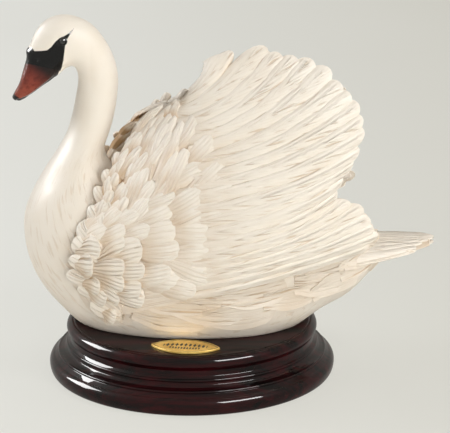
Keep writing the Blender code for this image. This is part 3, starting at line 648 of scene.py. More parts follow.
# %% Short feathers
def short_feathers(surface, outward, u, v, turn, length, width, rise, crown, shaft, thick, fan, painted_shade, rng,
                   tilt=0.0, bold=0.0, grid_size=(8, 7)):
    """Feathers rooted at (u, v) that point along u, turned by an angle towards v.

    The way (a along, b across) in millimetres is turned into (du, dv) with the inverse of the
    surface's metric at the root, and the height is laid off along the surface's normal.
    """
    count = len(u)
    t, s = tongue_grid(*grid_size)
    wide = 0.55 + 0.45 * smoothstep(t / 0.55)
    length, width, rise, crown, shaft, thick, tilt = per_feather(
        count, length, width, rise, crown, shaft, thick, tilt)
    reach = length - 0.5 * width * round_end(s) * (0.9 + 0.2 * rng.random((count, 1, 1)))
    a = reach * t
    b = 0.5 * width * wide * s + 0.06 * width * np.sin(t * 3.0 + 6.28 * rng.random((count, 1, 1)))
    _, along, across, _ = surface_frame(surface, u, v)
    first, second = square_tangents(along, across)
    cos, sin = np.cos(turn)[:, None], np.sin(turn)[:, None]
    forward, sideways = cos * first + sin * second, cos * second - sin * first
    g11, g12, g22 = ((p * q).sum(-1) for p, q in ((along, along), (along, across), (across, across)))
    det = g11 * g22 - g12 ** 2
    steps = []
    for way in (forward, sideways):
        p, q = (way * along).sum(-1), (way * across).sum(-1)
        steps.append(per_feather(count, (g22 * p - g12 * q) / det, (g11 * q - g12 * p) / det))
    u, v, bold, painted_shade = per_feather(count, u, v, bold, painted_shade)
    uu = u + a * steps[0][0] + b * steps[1][0]
    vv = v + a * steps[0][1] + b * steps[1][1]
    point, _, _, normal = surface_frame(surface, uu, vv)
    top, bottom = feather_heights(t, s, rise, crown, shaft, tilt, thick)
    own = 40.0 * rng.random((count, 1, 1))
    carving = np.stack([s * fan * 2.0 + 0 * a, a / 26.0, own + 0 * a], -1)
    depth = smoothstep((1.02 - np.abs(s)) / 0.25) * smoothstep((1.02 - t) / 0.12) + 0 * a
    depth = depth * (0.45 + bold)
    # Painted shade: darkest at the root, under the tips of the row above, and along the rims.
    shade = painted_shade * (1.0 - smoothstep((t - 0.35) / 0.45)) + 0.35 * painted_shade * s ** 4
    points, values = two_faces(point, outward * normal, top, bottom, carving, depth, shade, 0.2)
    return points, shell_faces(count, *grid_size), values


# %% Long feathers
SHAFT_AT = 0.3


def long_feathers(surface, outward, centre, spread, start, end, rise, crown, shaft, thick, barbs, rng,
                  rows=44, columns=11, tilt=0.8, lean=0.0):
    """Feathers that follow the surface's own lines: centre and spread are in v, start and end in u.
    A feather that leans moves on in v towards its tip.

    Their width grows with the surface, so they fan out as it does. A slow wave across the barbs
    ripples the vane, and the barb lines slant back from the shaft.
    """
    count = len(centre)
    _, s = tongue_grid(rows, columns)
    t = np.linspace(0.0, 1.0, rows)[:, None] + 0 * s
    centre, spread, start, end, rise, thick, lean = per_feather(
        count, centre, spread, start, end, rise, thick, lean)
    vv = centre + 0.5 * spread * s * (0.75 + 0.25 * smoothstep(t / 0.3)) + lean * (t - 0.4)
    at_tip = surface_frame(surface, end, centre)
    wide = 0.5 * spread * np.linalg.norm(at_tip[2], axis=-1)
    long = np.maximum(np.linalg.norm(at_tip[1], axis=-1), 1.0)
    tip = end - wide / long * round_end(s) * (0.95 + 0.25 * rng.random((count, 1, 1)))
    uu = start + (tip - start) * t
    point, along, across, normal = surface_frame(surface, uu, vv)
    across_mm = s * 0.5 * spread * np.linalg.norm(across, axis=-1)
    along_mm = (uu - start) * np.linalg.norm(along, axis=-1)
    own = 40.0 * rng.random((count, 1, 1))
    ripple = np.sin(along_mm / 5.5 + np.abs(across_mm) * 0.55 + own) * 0.28
    ripple = ripple * (np.abs(s) > 0.05) * np.abs(s) ** 0.5
    top, bottom = feather_heights(t, s, rise * 0, crown, shaft, tilt, thick, SHAFT_AT)
    lift = rise * (smoothstep(t / 0.25) * 1.1 - 0.1)
    slanted = (np.abs(across_mm) - np.where(s < SHAFT_AT, 0.17, 0.06) * along_mm) / barbs
    carving = np.stack([slanted, along_mm / 22.0 + 0 * s, own + 0 * slanted], -1)
    depth = smoothstep((1.02 - np.abs(s)) / 0.12) * smoothstep(np.abs(s - SHAFT_AT) / 0.12)
    depth = depth * smoothstep((1.01 - t) / 0.05) * (0.75 + 0.25 * smoothstep(t / 0.4)) + 0 * slanted
    # Painted shade near the root and along the rims.
    shade = 0.2 * (1.0 - smoothstep((t - 0.05) / 0.3)) + 0.1 * s ** 6 + 0 * slanted
    points, values = two_faces(point, outward * normal, top + lift + ripple, bottom + lift, carving, depth,
                               shade)
    return points, shell_faces(count, rows, columns), values


def joined(parts):
    """Several sets of points, faces and values as one."""
    starts = np.cumsum([0] + [len(p[0]) for p in parts[:-1]])
    points = np.vstack([p[0] for p in parts])
    faces = np.vstack([p[1] + start for p, start in zip(parts, starts)])
    values = {"carving": np.vstack([p[2]["carving"].reshape(-1, 3) for p in parts])}
    for key in ("depth", "painted_shade"):
        values[key] = np.concatenate([p[2][key].ravel() for p in parts])
    return points, faces, values


# %% [markdown]
# ## Wing surface
# The wing is a sheet through three curves: the leading edge, the ridge where the long coverts end,
# and the line of the feather tips. u runs from 0 through 0.5 to 1 across those three, and v from
# the lower edge to the top. The far wing is the mirror image, a little lower at the top.

# %% Wing curves
LEADING = [(-50, 53, 51), (-66, 53, 79), (-66, 49, 98), (-55, 39, 123), (-45, 30, 146), (-25, 21, 167),
           (-2, 13, 181)]
RIDGE = [(23, 61, 71), (29, 66, 91), (31, 66.5, 110), (29, 62, 134), (26, 53, 155), (18, 38, 176),
         (8, 17, 197)]
TRAILING = [(108, 44, 92), (117, 46, 107), (105, 47, 122), (92, 47, 131), (99, 45, 146), (105, 42, 163),
            (103, 37, 181), (90, 30, 197), (67, 22, 209), (45, 15, 213), (18, 10, 207)]
FAR_TRAILING = [(86, 44, 96), (97, 46, 106), (111, 47, 117)] + TRAILING[3:]


def as_arrays(u, v):
    """Both parameters as arrays of the same shape."""
    return np.broadcast_arrays(np.asarray(u, float), np.asarray(v, float))


def wing_sheet(trailing, depth=0.0):
    """Function of (u, v): parabola through the three curves; beyond v = 0 or 1 it goes straight on.

    With depth 1 it is the inner face, below the outer one by the wing's thickness.
    """
    def plain(u, v):
        lead, ridge, trail = (smooth_curve(c, v) for c in (LEADING, RIDGE, trailing))
        u = u[..., None]
        return (1 - u) * (1 - 2 * u) * lead + 4 * u * (1 - u) * ridge + u * (2 * u - 1) * trail

    def sheet(u, v):
        u, v = as_arrays(u, v)
        held = np.clip(v, 0.0, 1.0)
        low, high = np.clip(held - 0.02, 0, 1), np.clip(held + 0.02, 0, 1)
        slope = (plain(u, high) - plain(u, low)) / (high - low)[..., None]
        return plain(u, held) + slope * (v - held)[..., None]

    def inner(u, v):
        u, v = as_arrays(u, v)
        point, _, _, normal = surface_frame(sheet, u, v)
        share = np.clip(u, 0.0, 1.0)
        thick = 2.4 + 6.6 * (1 - share) ** 0.8 * (1 - 0.6 * np.clip(v, 0, 1) ** 4)
        return point - normal * (depth * thick)[..., None]
    return inner if depth else sheet


def wing_face(trailing, outward):
    """The outer face (outward 1) or the inner face (outward -1) of a wing."""
    return wing_sheet(trailing, 0.0 if outward > 0 else 1.0)


def to_side(points, side):
    """The wing moved to its side of the swan: y changes sign, and the far wing's top sits lower."""
    points = points * np.array((1.0, side, 1.0))
    if side > 0:
        points[:, 2] -= 9.0 * smoothstep((points[:, 2] - 150.0) / 60.0)
    return points


# %% Wing core
CORE_BELOW, CORE_ABOVE = 1.2, 0.8


def wing_core(trailing, rows=40, columns=60):
    """Plain closed shell under the feathers, between the two faces and a little inside them."""
    u, v = np.meshgrid(np.linspace(0.0, 1.0, rows), np.linspace(0.0, 1.0, columns), indexing="ij")
    u = u * (0.955 - 0.355 * smoothstep((v - 0.86) / 0.1))
    point, _, _, normal = surface_frame(wing_sheet(trailing), u, v)
    inner = wing_sheet(trailing, 1.0)(u, v) + CORE_ABOVE * normal
    ribs = np.stack([np.abs((v * 30) % 1 - 0.5) * 8, u * 6, 0 * u + 7], -1)
    # The core shows only in the gaps between feathers and gets painted shade, more on its outer face.
    values = {"carving": np.stack([ribs, ribs]), "depth": np.stack([0 * u, 0 * u]) + 0.4,
              "painted_shade": np.stack([0 * u + 0.22, 0 * u + 0.12])}
    points = np.stack([point - CORE_BELOW * normal, inner]).reshape(-1, 3)
    return points, shell_faces(1, rows, columns), values


# %% [markdown]
# ## Coverts and flight feathers
# Six rows of coverts cover the front half of the wing. They are broad and round low down, and
# towards the top of the leading edge they turn upright. Along the edge itself stand slim fingers,
# and behind the coverts the long flight feathers fan out. Each feather has its own small turn,
# length and tilt, drawn from a seeded generator.

# %% Rows of coverts
COVERT_ENDS = [0.055, 0.125, 0.205, 0.30, 0.395, 0.50]
ZONE_V = [0, 0.1, 0.25, 0.4, 0.5, 0.62, 0.69, 0.745, 0.805, 0.84, 0.88, 0.905, 0.95]
ZONE_U = [0.49, 0.505, 0.495, 0.495, 0.505, 0.515, 0.505, 0.495, 0.475, 0.455, 0.38, 0.26, 0.1]
SIDE_UP = np.array((0.0, -math.sin(LOOK_DOWN), math.cos(LOOK_DOWN)))


def aimed(sheet, u, v, degrees, up=SIDE_UP):
    """Turn in the tangent plane that makes a feather point at an angle above the horizontal, seen from
    the side: cos(turn) first + sin(turn) second has to lie along that direction in the view."""
    _, along, across, _ = surface_frame(sheet, u, v)
    first, second = square_tangents(along, across)
    want = np.stack([np.cos(np.radians(degrees)), np.sin(np.radians(degrees))], -1)
    fx, fy, sx, sy = first[:, 0], first @ up, second[:, 0], second @ up
    turn = np.arctan2(fy * want[:, 0] - fx * want[:, 1], sx * want[:, 1] - sy * want[:, 0])
    seen_x = np.cos(turn) * fx + np.sin(turn) * sx
    seen_y = np.cos(turn) * fy + np.sin(turn) * sy
    return np.where(seen_x * want[:, 0] + seen_y * want[:, 1] < 0, turn + math.pi, turn)


def row_places(sheet, u, spacing_low, spacing_high, offset, top=0.95):
    """v of feathers along a row: equal counts of a spacing that changes from bottom to top."""
    v = np.linspace(0.0, top, 400)
    line = sheet(np.full_like(v, u), v)
    step = np.linalg.norm(np.diff(line, axis=0), axis=1)
    spacing = spacing_low + (spacing_high - spacing_low) * smoothstep((v[1:] - 0.25) / 0.5)
    number = np.concatenate([[0.0], np.cumsum(step / spacing)])
    return np.interp(np.arange(offset, number[-1] + 0.2, 1.0), number, v)


def covert_direction(u, v):
    """Angle above the horizontal: level low down, upright near the top of the leading edge."""
    front = np.interp(v, [0, 0.08, 0.2, 0.35, 0.5, 0.65, 0.8, 0.9], [-30, -16, -2, 12, 42, 64, 70, 62])
    ridge = np.interp(v, [0, 0.1, 0.3, 0.5, 0.6, 0.7, 0.8, 0.9], [-6, -2, 0, 6, 20, 38, 50, 54])
    share = smoothstep((u - 0.1) / 0.42)
    return front * (1 - share) + ridge * share


def covert_rows(trailing, outward, rng):
    """All coverts of one face of a wing."""
    sheet = wing_face(trailing, outward)
    parts = []
    ends = COVERT_ENDS if outward > 0 else COVERT_ENDS[2:5]
    for row, end in enumerate(ends):
        v = row_places(sheet, end, 11.5 + 0.7 * row, 7.6 + 1.0 * row, 0.5 * (row % 2))
        count = len(v)
        v = v + 0.007 * rng.standard_normal(count)
        tip = end / 0.5 * np.interp(v, ZONE_V, ZONE_U) + 0.012 * rng.standard_normal(count)
        slim = smoothstep((v - 0.3) / 0.4)
        width = (15.5 + 0.9 * row) * (1 - slim) + (10.5 + 0.7 * row) * slim
        width = width * (1 + 0.08 * rng.standard_normal(count))
        length = (21.0 + 3.0 * row + 3.0 * slim) * (1 + 0.08 * rng.standard_normal(count))
        angle = covert_direction(tip, v) + 6.0 * rng.standard_normal(count)
        turn = aimed(sheet, tip, v, angle)
        _, along, across, _ = surface_frame(sheet, tip, v)
        ahead = np.linalg.norm(along, axis=-1)
        room = (tip + 0.015) * ahead / np.maximum(np.cos(turn), 0.3)
        length = np.maximum(np.minimum(length, room), 10.0)
        root = tip - length * np.cos(turn) / ahead
        v_root = v - length * np.sin(turn) / np.linalg.norm(across, axis=-1)
        v_root = np.clip(v_root, -0.02 if row < 4 else 0.03, 1.0)
        low_front = smoothstep((0.42 - v) / 0.2) * smoothstep((0.34 - tip) / 0.2)
        high = smoothstep((v - 0.62) / 0.16)
        rise = (1.7 + 1.0 * low_front + 1.0 * high) * (1 + 0.15 * rng.standard_normal(count))
        rise = rise * (1.0 if outward > 0 else 0.5)
        # Painted shade on each covert, more on the upright ones near the leading edge, at a random
        # strength.
        painted_shade = 0.36 + 0.3 * slim * (1 - smoothstep((tip - 0.03) / 0.25)) + 0.12 * rng.random(count)
        crown = 0.9 + 1.1 * low_front + 1.1 * high + 0.4 * rng.random(count)
        turn = aimed(sheet, root, v_root, angle)
        tilt = 0.6 * rng.standard_normal(count)
        parts.append(short_feathers(sheet, outward, root, v_root, turn, length, width, rise, crown,
                                    shaft=0.15, thick=2.8, fan=2.1, painted_shade=painted_shade, rng=rng, tilt=tilt,
                                    bold=0.75 * low_front))
    return parts


# %% Fingers on the leading edge
FINGERS = 14
FINGER_REACH = 0.034


def edge_strip(trailing):
    """Flat strip that stands on the leading edge: edge(v) + 100 u (cos 65, 0, sin 65), in degrees."""
    edge = wing_sheet(trailing, 0.5)
    way = 100.0 * np.array((math.cos(math.radians(65)), 0.0, math.sin(math.radians(65))))

    def strip(u, v):
        u, v = as_arrays(u, v)
        return edge(0 * u, v) + u[..., None] * way
    return strip


# %% Slanting fingers
# Each set: u of the root, v of the root in spacings from the part's own finger, u and v of the tip.
SLANTING = [(0.055, -0.75, 0.012, 0.12), (0.03, -0.25, -FINGER_REACH, 0.62)]
SLANTING_INSIDE = [(0.13, -0.3, 0.075, 0.62), (0.09, -0.75, 0.035, 0.12)] + SLANTING


def slanting_fingers(trailing, outward, rng):
    """Small feathers that lean up along the leading edge, in staggered lines.

    The outermost line's tips stand ahead of the edge, at the same places as in the part.
    """
    sheet = wing_face(trailing, outward)
    number = np.arange(FINGERS)
    parts = []
    for u_root, from_part, u_tip, to_part in SLANTING if outward > 0 else SLANTING_INSIDE:
        root_v = np.clip((number + from_part) / FINGERS, 0.0, 0.96) + 0.003 * rng.standard_normal(FINGERS)
        slender = smoothstep((root_v - 0.35) / 0.2) * (trailing is FAR_TRAILING)
        u = np.full(FINGERS, u_root)
        root, along, across, _ = surface_frame(sheet, u, root_v)
        way = sheet(u_tip - 0.02 * slender * (u_tip < 0), (number + to_part) / FINGERS) - root
        first, second = square_tangents(along, across)
        turn = np.arctan2((way * second).sum(-1), (way * first).sum(-1))
        turn = turn + 0.08 * rng.standard_normal(FINGERS)
        length = np.linalg.norm(way, axis=-1) * (1 + 0.06 * rng.standard_normal(FINGERS))
        width = np.interp(root_v, [0, 0.3, 0.6, 1], [12.0, 10.5, 8.0, 6.5])
        width = width * (1 + 0.06 * rng.standard_normal(FINGERS)) * (1 - 0.35 * slender)
        # Painted shade grows up the leading edge and on the far wing's slender fingers.
        painted_shade = 0.15 + 0.6 * smoothstep((root_v - 0.35) / 0.35) + 0.2 * slender
        tilt = 0.4 * rng.standard_normal(FINGERS)
        parts.append(short_feathers(sheet, outward, u, root_v, turn, length, width, rise=1.3, crown=1.1,
                                    shaft=0.15, thick=2.6, fan=1.3, painted_shade=painted_shade, rng=rng, tilt=tilt,
                                    bold=0.3))
    return parts


# %% Upright fingers
# Each set: u of the root, number, shift along the edge in spacings, and rise in millimetres.
UPRIGHT = {"near outer": ((0.07, 12, 0.5, 2.4), (0.015, 13, 0.0, 3.0)),
           "near inner": ((0.05, 12, 0.5, 1.5), (0.0, 13, 0.0, 1.0)),
           "far outer": ((0.03, 8, 0.5, 1.2), (0.0, 8, 0.05, 1.6)),
           "far inner": ((0.05, 12, 0.5, 1.5), (-0.04, 9, 0.0, 2.6))}
EDGE_TIPS = 8


def upright_fingers(trailing, outward, rng):
    """Narrow feathers that stand nearly upright in the side view, on the upper part of the edge."""
    sheet = wing_face(trailing, outward)
    far = trailing is FAR_TRAILING
    up = SIDE_UP * (1.0, -1.0, 1.0) if far else SIDE_UP
    face = ("far" if far else "near") + (" outer" if outward > 0 else " inner")
    parts = []
    for u_root, count, shift, rise in UPRIGHT[face]:
        v = 0.40 + 0.53 * (np.arange(count) + shift) / count + 0.004 * rng.standard_normal(count)
        u = np.full(count, u_root)
        angle = np.interp(v, [0.45, 0.6, 0.75, 1.0], [62, 68, 68, 62]) + 5 * rng.standard_normal(count)
        turn = aimed(sheet, u, v, angle, up)
        length = 16.0 + 3.0 * smoothstep((v - 0.5) / 0.3) + 2.0 * rng.random(count)
        length = length + (6.0 if u_root < 0 else 0.0)
        # Painted shade grows towards the top, and is heavier on the far wing and on inner faces.
        painted_shade = 0.35 + 0.4 * smoothstep((v - 0.5) / 0.3) + (0.45 if far or outward < 0 else 0.0)
        width = 6.6 + rng.random(count)
        tilt = 0.4 * rng.standard_normal(count)
        parts.append(short_feathers(sheet, outward, u, v, turn, length, width, rise, crown=1.2, shaft=0.15,
                                    thick=3.2, fan=1.2, painted_shade=painted_shade, rng=rng, tilt=tilt, bold=0.3))
    return parts


def edge_tips(trailing, outward, rng):
    """Slim tips, painted brown as shade, on the strip that stands on the far wing's leading edge."""
    v = 0.45 + 0.50 * (np.arange(EDGE_TIPS) + 0.5) / EDGE_TIPS + 0.006 * rng.standard_normal(EDGE_TIPS)
    turn = 0.12 * rng.standard_normal(EDGE_TIPS)
    length = 24.5 + 2.0 * rng.random(EDGE_TIPS)
    tilt = 0.4 * rng.standard_normal(EDGE_TIPS)
    return short_feathers(edge_strip(trailing), outward, np.full(EDGE_TIPS, -0.09), v, turn, length,
                          width=6.6, rise=0.2, crown=1.4, shaft=0.15, thick=3.0, fan=1.2, painted_shade=0.95,
                          rng=rng, tilt=tilt, bold=0.3)


# %% Flight feathers
FLIGHT_CENTRES = np.array([0.02, 0.065, 0.11, 0.155, 0.20, 0.25, 0.305, 0.36, 0.41, 0.46, 0.51, 0.56,
                           0.605, 0.65, 0.69, 0.735, 0.775, 0.815, 0.858, 0.908, 0.966, 0.982])
FLIGHT_ENDS = np.array([0.99, 1.0, 0.99, 0.99, 1.0, 0.99, 0.98, 0.965, 0.985, 1.0, 1.01, 1.0, 1.0, 1.0,
                        0.995, 1.01, 1.015, 1.0, 0.985, 1.02, 1.05, 1.03])
FLIGHT_SPREADS = np.append(1.5 * np.minimum(np.gradient(FLIGHT_CENTRES), 0.055)[:-3], [0.086, 0.064, 0.06])
FLIGHT_LEANS = np.append(np.zeros(19), [0.005, 0.045, 0.05])


def flight_feathers(trailing, outward, rng):
    """The fan of long feathers; each one's lower edge lies over the feather below it."""
    sheet = wing_face(trailing, outward)
    count = len(FLIGHT_CENTRES)
    centre = FLIGHT_CENTRES + 0.003 * rng.standard_normal(count)
    end = FLIGHT_ENDS + 0.006 * rng.standard_normal(count) - (0.035 if trailing is FAR_TRAILING else 0.0)
    rise = 0.9 + 0.5 * rng.random(count) if outward > 0 else 0.4
    start = np.interp(centre, [0, 0.7, 0.84, 0.92, 1.0], [0.34, 0.34, 0.2, 0.02, 0.0])
    return long_feathers(sheet, outward, centre, FLIGHT_SPREADS, start, end, rise, crown=1.8, shaft=0.16,
                         thick=1.8, barbs=1.15, rng=rng, tilt=-0.55, lean=FLIGHT_LEANS)


# %% Build both wings
WINGS = {"near_wing": (-1.0, TRAILING, 11), "far_wing": (1.0, FAR_TRAILING, 23)}
for name, (side, trailing, seed) in WINGS.items():
    rng = np.random.default_rng(seed)
    flights = [wing_core(trailing)] + [flight_feathers(trailing, outward, rng) for outward in (1.0, -1.0)]
    coverts = covert_rows(trailing, 1.0, rng) + covert_rows(trailing, -1.0, rng)
    for outward in (1.0, -1.0):
        coverts += slanting_fingers(trailing, outward, rng) + upright_fingers(trailing, outward, rng)
        if trailing is FAR_TRAILING and outward > 0:
            coverts.append(edge_tips(trailing, outward, rng))
    for kind, parts, finish in (("flights", flights, flight_resin), ("coverts", coverts, covert_resin)):
        points, faces, values = joined(parts)
        add_piece(f"{name}_{kind}", to_side(points, side), faces, finish, values, "swan")

# %% [markdown]
# ## Tail and body feathers
# The tail is a flat wedge of narrow feathers that come together at the tip. On the flanks, rump
# and back lie broad soft feathers, with little relief, that run with the body.

# %% Tail
TAIL = np.array([(92, 78, 27, 20), (106, 81, 26.5, 13.5), (120, 83, 24, 9.5), (134, 84.5, 19.5, 7),
                 (146, 85.6, 14, 5), (153, 86, 9, 4), (157, 86, 4.5, 3)], float)


def tail_sheet(side):
    """Upper (side 1) or lower (side -1) face of the tail: u along it, v from -1 to 1 across."""
    def sheet(u, v):
        u, v = as_arrays(u, v)
        station = smooth_curve(TAIL, u)
        x, z, half, thick = (station[..., k] for k in range(4))
        x = x + (u - np.clip(u, 0, 1)) * 24.0
        edge = thick / 2 * np.sqrt(np.maximum(1 - np.clip(v, -1, 1) ** 2, 0.0))
        return np.stack([x, half * v, z - 0.12 * half * v ** 2 + side * edge], -1)
    return sheet


# %% Tail feathers
TAIL_FEATHERS, TAIL_ROWS, TAIL_COLUMNS = 11, 24, 20
rng = np.random.default_rng(5)
tail_centres = np.linspace(-0.92, 0.92, TAIL_FEATHERS)
tail_ends = 0.93 - 0.33 * np.abs(tail_centres) ** 1.4 + 0.02 * rng.standard_normal(TAIL_FEATHERS)
parts = []
for side in (1.0, -1.0):
    parts.append(long_feathers(tail_sheet(side), -side, tail_centres, spread=0.26, start=0.0, end=tail_ends,
                               rise=0.5, crown=0.5, shaft=0.3, thick=1.4, barbs=1.3, rng=rng, rows=30,
                               columns=9, tilt=0.35))
u, v = np.meshgrid(np.linspace(0.0, 0.8, TAIL_ROWS),
                   np.sin(np.linspace(-math.pi / 2, math.pi / 2, TAIL_COLUMNS)), indexing="ij")
core = np.stack([tail_sheet(0.8)(u, v), tail_sheet(-0.8)(u, v)]).reshape(-1, 3)
zero = np.zeros((2, TAIL_ROWS, TAIL_COLUMNS))
# The tail's core shows only between the feathers and gets painted shade.
core_values = {"carving": np.stack([zero, zero, zero], -1), "depth": zero, "painted_shade": zero + 0.4}
parts.append((core, shell_faces(1, TAIL_ROWS, TAIL_COLUMNS), core_values))
points, faces, values = joined(parts)
add_piece("tail", points, faces, flight_resin, values, "swan")


# %% Body feathers
def body_sheet(u, v):
    """The skin again, with u from the breast back to the rump and v round from the back (0) downwards."""
    return skin_point((1.0 - u) * 11.0 / LAST_RIB, v)


def body_rows(side, rng):
    """Rows of long soft feathers from rump to shoulder on one side."""
    rows = [(at, np.arange(0.05 + 0.15 * (row % 2), 2.0, 0.30))
            for row, at in enumerate(np.linspace(0.86, 0.0, 10))]
    u = np.concatenate([np.full(len(places), at) for at, places in rows])
    v = np.concatenate([places for at, places in rows])
    u = u + 0.02 * rng.standard_normal(len(u))
    v = v + 0.04 * rng.standard_normal(len(v))
    point = body_sheet(u + 0.1, v)
    keep = (point[:, 2] > 36.0) & (u > -0.02)
    u, v = u[keep], v[keep]
    count = len(u)
    width = 17.0 + 5.0 * rng.random(count)
    length = 38.0 + 10.0 * rng.random(count)
    # A little painted shade, of random strength, darkens each feather's root and rims.
    painted_shade = 0.05 * rng.random(count)
    rise = 0.1 + 0.25 * rng.random(count)
    turn = 0.12 * rng.standard_normal(count)
    tilt = 0.2 * rng.standard_normal(count)
    return short_feathers(body_sheet, 1.0, u, side * v, turn, length, width, rise, crown=1.2, shaft=0.0,
                          thick=1.6, fan=2.6, painted_shade=painted_shade, rng=rng, tilt=tilt, bold=0.8, grid_size=(12, 11))


rng = np.random.default_rng(8)
points, faces, values = joined([body_rows(1.0, rng), body_rows(-1.0, rng)])
add_piece("body_feathers", points, faces, flight_resin, values, "swan")

# %% [markdown]
# ## Eyes
# A glossy black bead sits in the mask on each side, between two thin lids. Bead and lids are
# simple surfaces: a ball from two angles, and a thin tube carried round a circle.

# %% Eyes
EYE_X, EYE_Y, EYE_Z = -78.6, 11.6, 218.0
eye_black, tree, shader = new_material("eye_black", Coat_Weight=0.6, Coat_Roughness=0.05)
depths = noise(tree, object_place(tree), 500.0, 2.0)
feed(tree, shader, Base_Color=mixed(tree, depths, colour(12, 11, 12), colour(30, 26, 26)),
     Roughness=ramp(tree, depths, 0.2, 0.8, 0.06, 0.14))


def ball(centre, radius, rows=16, columns=24):
    """Ball from two angles, closed at its poles."""
    a = np.linspace(0, math.pi, rows + 1)[1:-1][:, None]
    b = np.linspace(0, 2 * math.pi, columns, endpoint=False)[None]
    ring = np.stack([np.sin(a) * np.cos(b), np.sin(a) * np.sin(b), np.cos(a) + 0 * b], -1)
    points = np.vstack([ring.reshape(-1, 3), [(0, 0, 1), (0, 0, -1)]])
    return np.asarray(centre) + radius * points, closed_grid(rows - 1, columns)


def lid_ring(centre, normal, radius, tube, steps=36, sides=8):
    """Tube carried round a circle: centre + radius out + tube (cos b out + sin b normal)."""
    normal = np.asarray(normal) / np.linalg.norm(normal)
    across = np.cross(normal, (0.25, 0.0, 1.0))
    across /= np.linalg.norm(across)
    a = np.linspace(0, 2 * math.pi, steps, endpoint=False)[:, None, None]
    b = np.linspace(0, 2 * math.pi, sides, endpoint=False)[None, :, None]
    out = np.cos(a) * across + np.sin(a) * np.cross(across, normal)
    points = centre + out * radius + tube * (np.cos(b) * out + np.sin(b) * normal)
    index = np.arange(steps * sides).reshape(steps, sides)
    index = np.vstack([index, index[:1]])
    return points.reshape(-1, 3), quads(np.hstack([index, index[:, :1]]))


EYE_RADIUS, LID_RADIUS, LID_TUBE = 2.6, 2.5, 0.45
for name, side in (("near_eye", -1.0), ("far_eye", 1.0)):
    aside = float(middle_plane_y(np.array(EYE_X), np.array(EYE_Z)))
    centre = np.array((EYE_X, side * EYE_Y + aside, EYE_Z))
    points, faces = ball(centre, EYE_RADIUS)
    add_piece(name, points, faces, eye_black)
    points, faces = lid_ring(centre + (0, side * 1.3, 0), (-0.12, side, 0.12), LID_RADIUS, LID_TUBE)
    add_piece(name + "_lids", points, faces, eye_black)

# %% [markdown]
# ## Brass plaque
# A thin pointed oval of satin brass, glued to the plinth a little askew. Its outline is two
# arcs. The face has a raised bright rim and, inside it, an engraved line, a chain of lozenges and a
# row of bars, all filled with black. The mesh carries the distance to the nearest engraved line.

# %% Plaque
PLAQUE_HALF, PLAQUE_RISE, PLAQUE_LOW, PLAQUE_HIGH = 21.75, 11.5, 34.3, 35.5
PLAQUE_RADIUS = (PLAQUE_HALF ** 2 + PLAQUE_RISE ** 2) / (2 * PLAQUE_RISE)
ARC_CENTRE = PLAQUE_RADIUS - PLAQUE_RISE
PLAQUE_TURN, PLAQUE_X, PLAQUE_Y = math.radians(-9.0), -3.0, -61.4


def plaque_point(along, across, inset):
    """Point of the pointed oval: along and across go from -1 to 1, and inset draws the rim in."""
    radius = PLAQUE_RADIUS - inset
    x = along * math.sqrt(radius ** 2 - ARC_CENTRE ** 2)
    half = np.sqrt(np.maximum(radius ** 2 - x ** 2, 0)) - ARC_CENTRE
    return x, across * np.maximum(half, 0.0)


along, across = np.meshgrid(np.sin(np.linspace(-math.pi / 2, math.pi / 2, 201)), np.linspace(-1, 1, 61),
                            indexing="ij")
x, y = plaque_point(along, across, 0.12)
rim_distance = PLAQUE_RADIUS - np.hypot(x, np.abs(y) + ARC_CENTRE)
rim = smoothstep(rim_distance / 0.3) * (1.0 - 0.35 * smoothstep((rim_distance - 0.9) / 0.3))

# %% Engraved ornament
LOZENGE_PITCH, LOZENGE_REACH, BAR_PITCH, BAR_REACH = 2.8, 14.0, 1.8, 9.9
in_cell = (x + LOZENGE_PITCH / 2) % LOZENGE_PITCH - LOZENGE_PITCH / 2
lozenges = (np.abs(in_cell) / 1.05 + np.abs(y - 1.9 + 0.0105 * x ** 2) / 3.0 - 1.0) * 0.8
lozenges = np.where(np.abs(x) < LOZENGE_REACH, lozenges, FAR_OFF)
in_cell = (x + BAR_PITCH / 2) % BAR_PITCH - BAR_PITCH / 2
bars = np.maximum(np.abs(in_cell) - 0.5, np.abs(y + 4.0 - 0.007 * x ** 2) - 1.5)
bars = np.where(np.abs(x) < BAR_REACH, bars, FAR_OFF)
engraved = np.minimum(np.minimum(lozenges, bars), np.abs(rim_distance - 1.25) - 0.22)
both = np.stack([engraved, engraved + FAR_OFF])
cos, sin = math.cos(PLAQUE_TURN), math.sin(PLAQUE_TURN)
placed = np.stack([x * cos - y * sin + PLAQUE_X, x * sin + y * cos + PLAQUE_Y], -1)
heights = np.stack([PLAQUE_HIGH - 0.32 + 0.32 * rim, np.full_like(rim, PLAQUE_LOW)])
points = np.concatenate([np.stack([placed, placed]), heights[..., None]], -1).reshape(-1, 3)
print("share of the plaque under black:", round(float((engraved < 0).mean()), 3))

# %% Brass
brass, tree, shader = new_material("plaque_brass")
place = object_place(tree)
brushed = node(tree, "ShaderNodeMapping", {"Vector": place, "Scale": (200.0, 2600.0, 200.0),
                                           "Rotation": (0, 0, 0.15)}).outputs[0]
hair = noise(tree, brushed, 1.0, 3.0)
tarnish = ramp(tree, noise(tree, place, 160.0, 4.0, 0.7), 0.35, 0.7)
gold = mixed(tree, tarnish, colour(240, 206, 120), colour(206, 168, 82))
ink = ramp(tree, attribute(tree, "engraved"), -0.08, 0.1, 1.0, 0.0)
height = maths(tree, "ADD", maths(tree, "MULTIPLY", ink, -1.0), maths(tree, "MULTIPLY", hair, 0.12))
feed(tree, shader, Base_Color=mixed(tree, ink, gold, colour(38, 30, 18)),
     Metallic=ramp(tree, ink, 0.0, 1.0, 0.45, 0.1), Roughness=ramp(tree, hair, 0.3, 0.7, 0.4, 0.55),
     Normal=bumped(tree, height, 0.12 * MM))
add_piece("brass_plaque", points, shell_faces(1, *x.shape), brass, {"engraved": both}, "plaque",
          30.0)

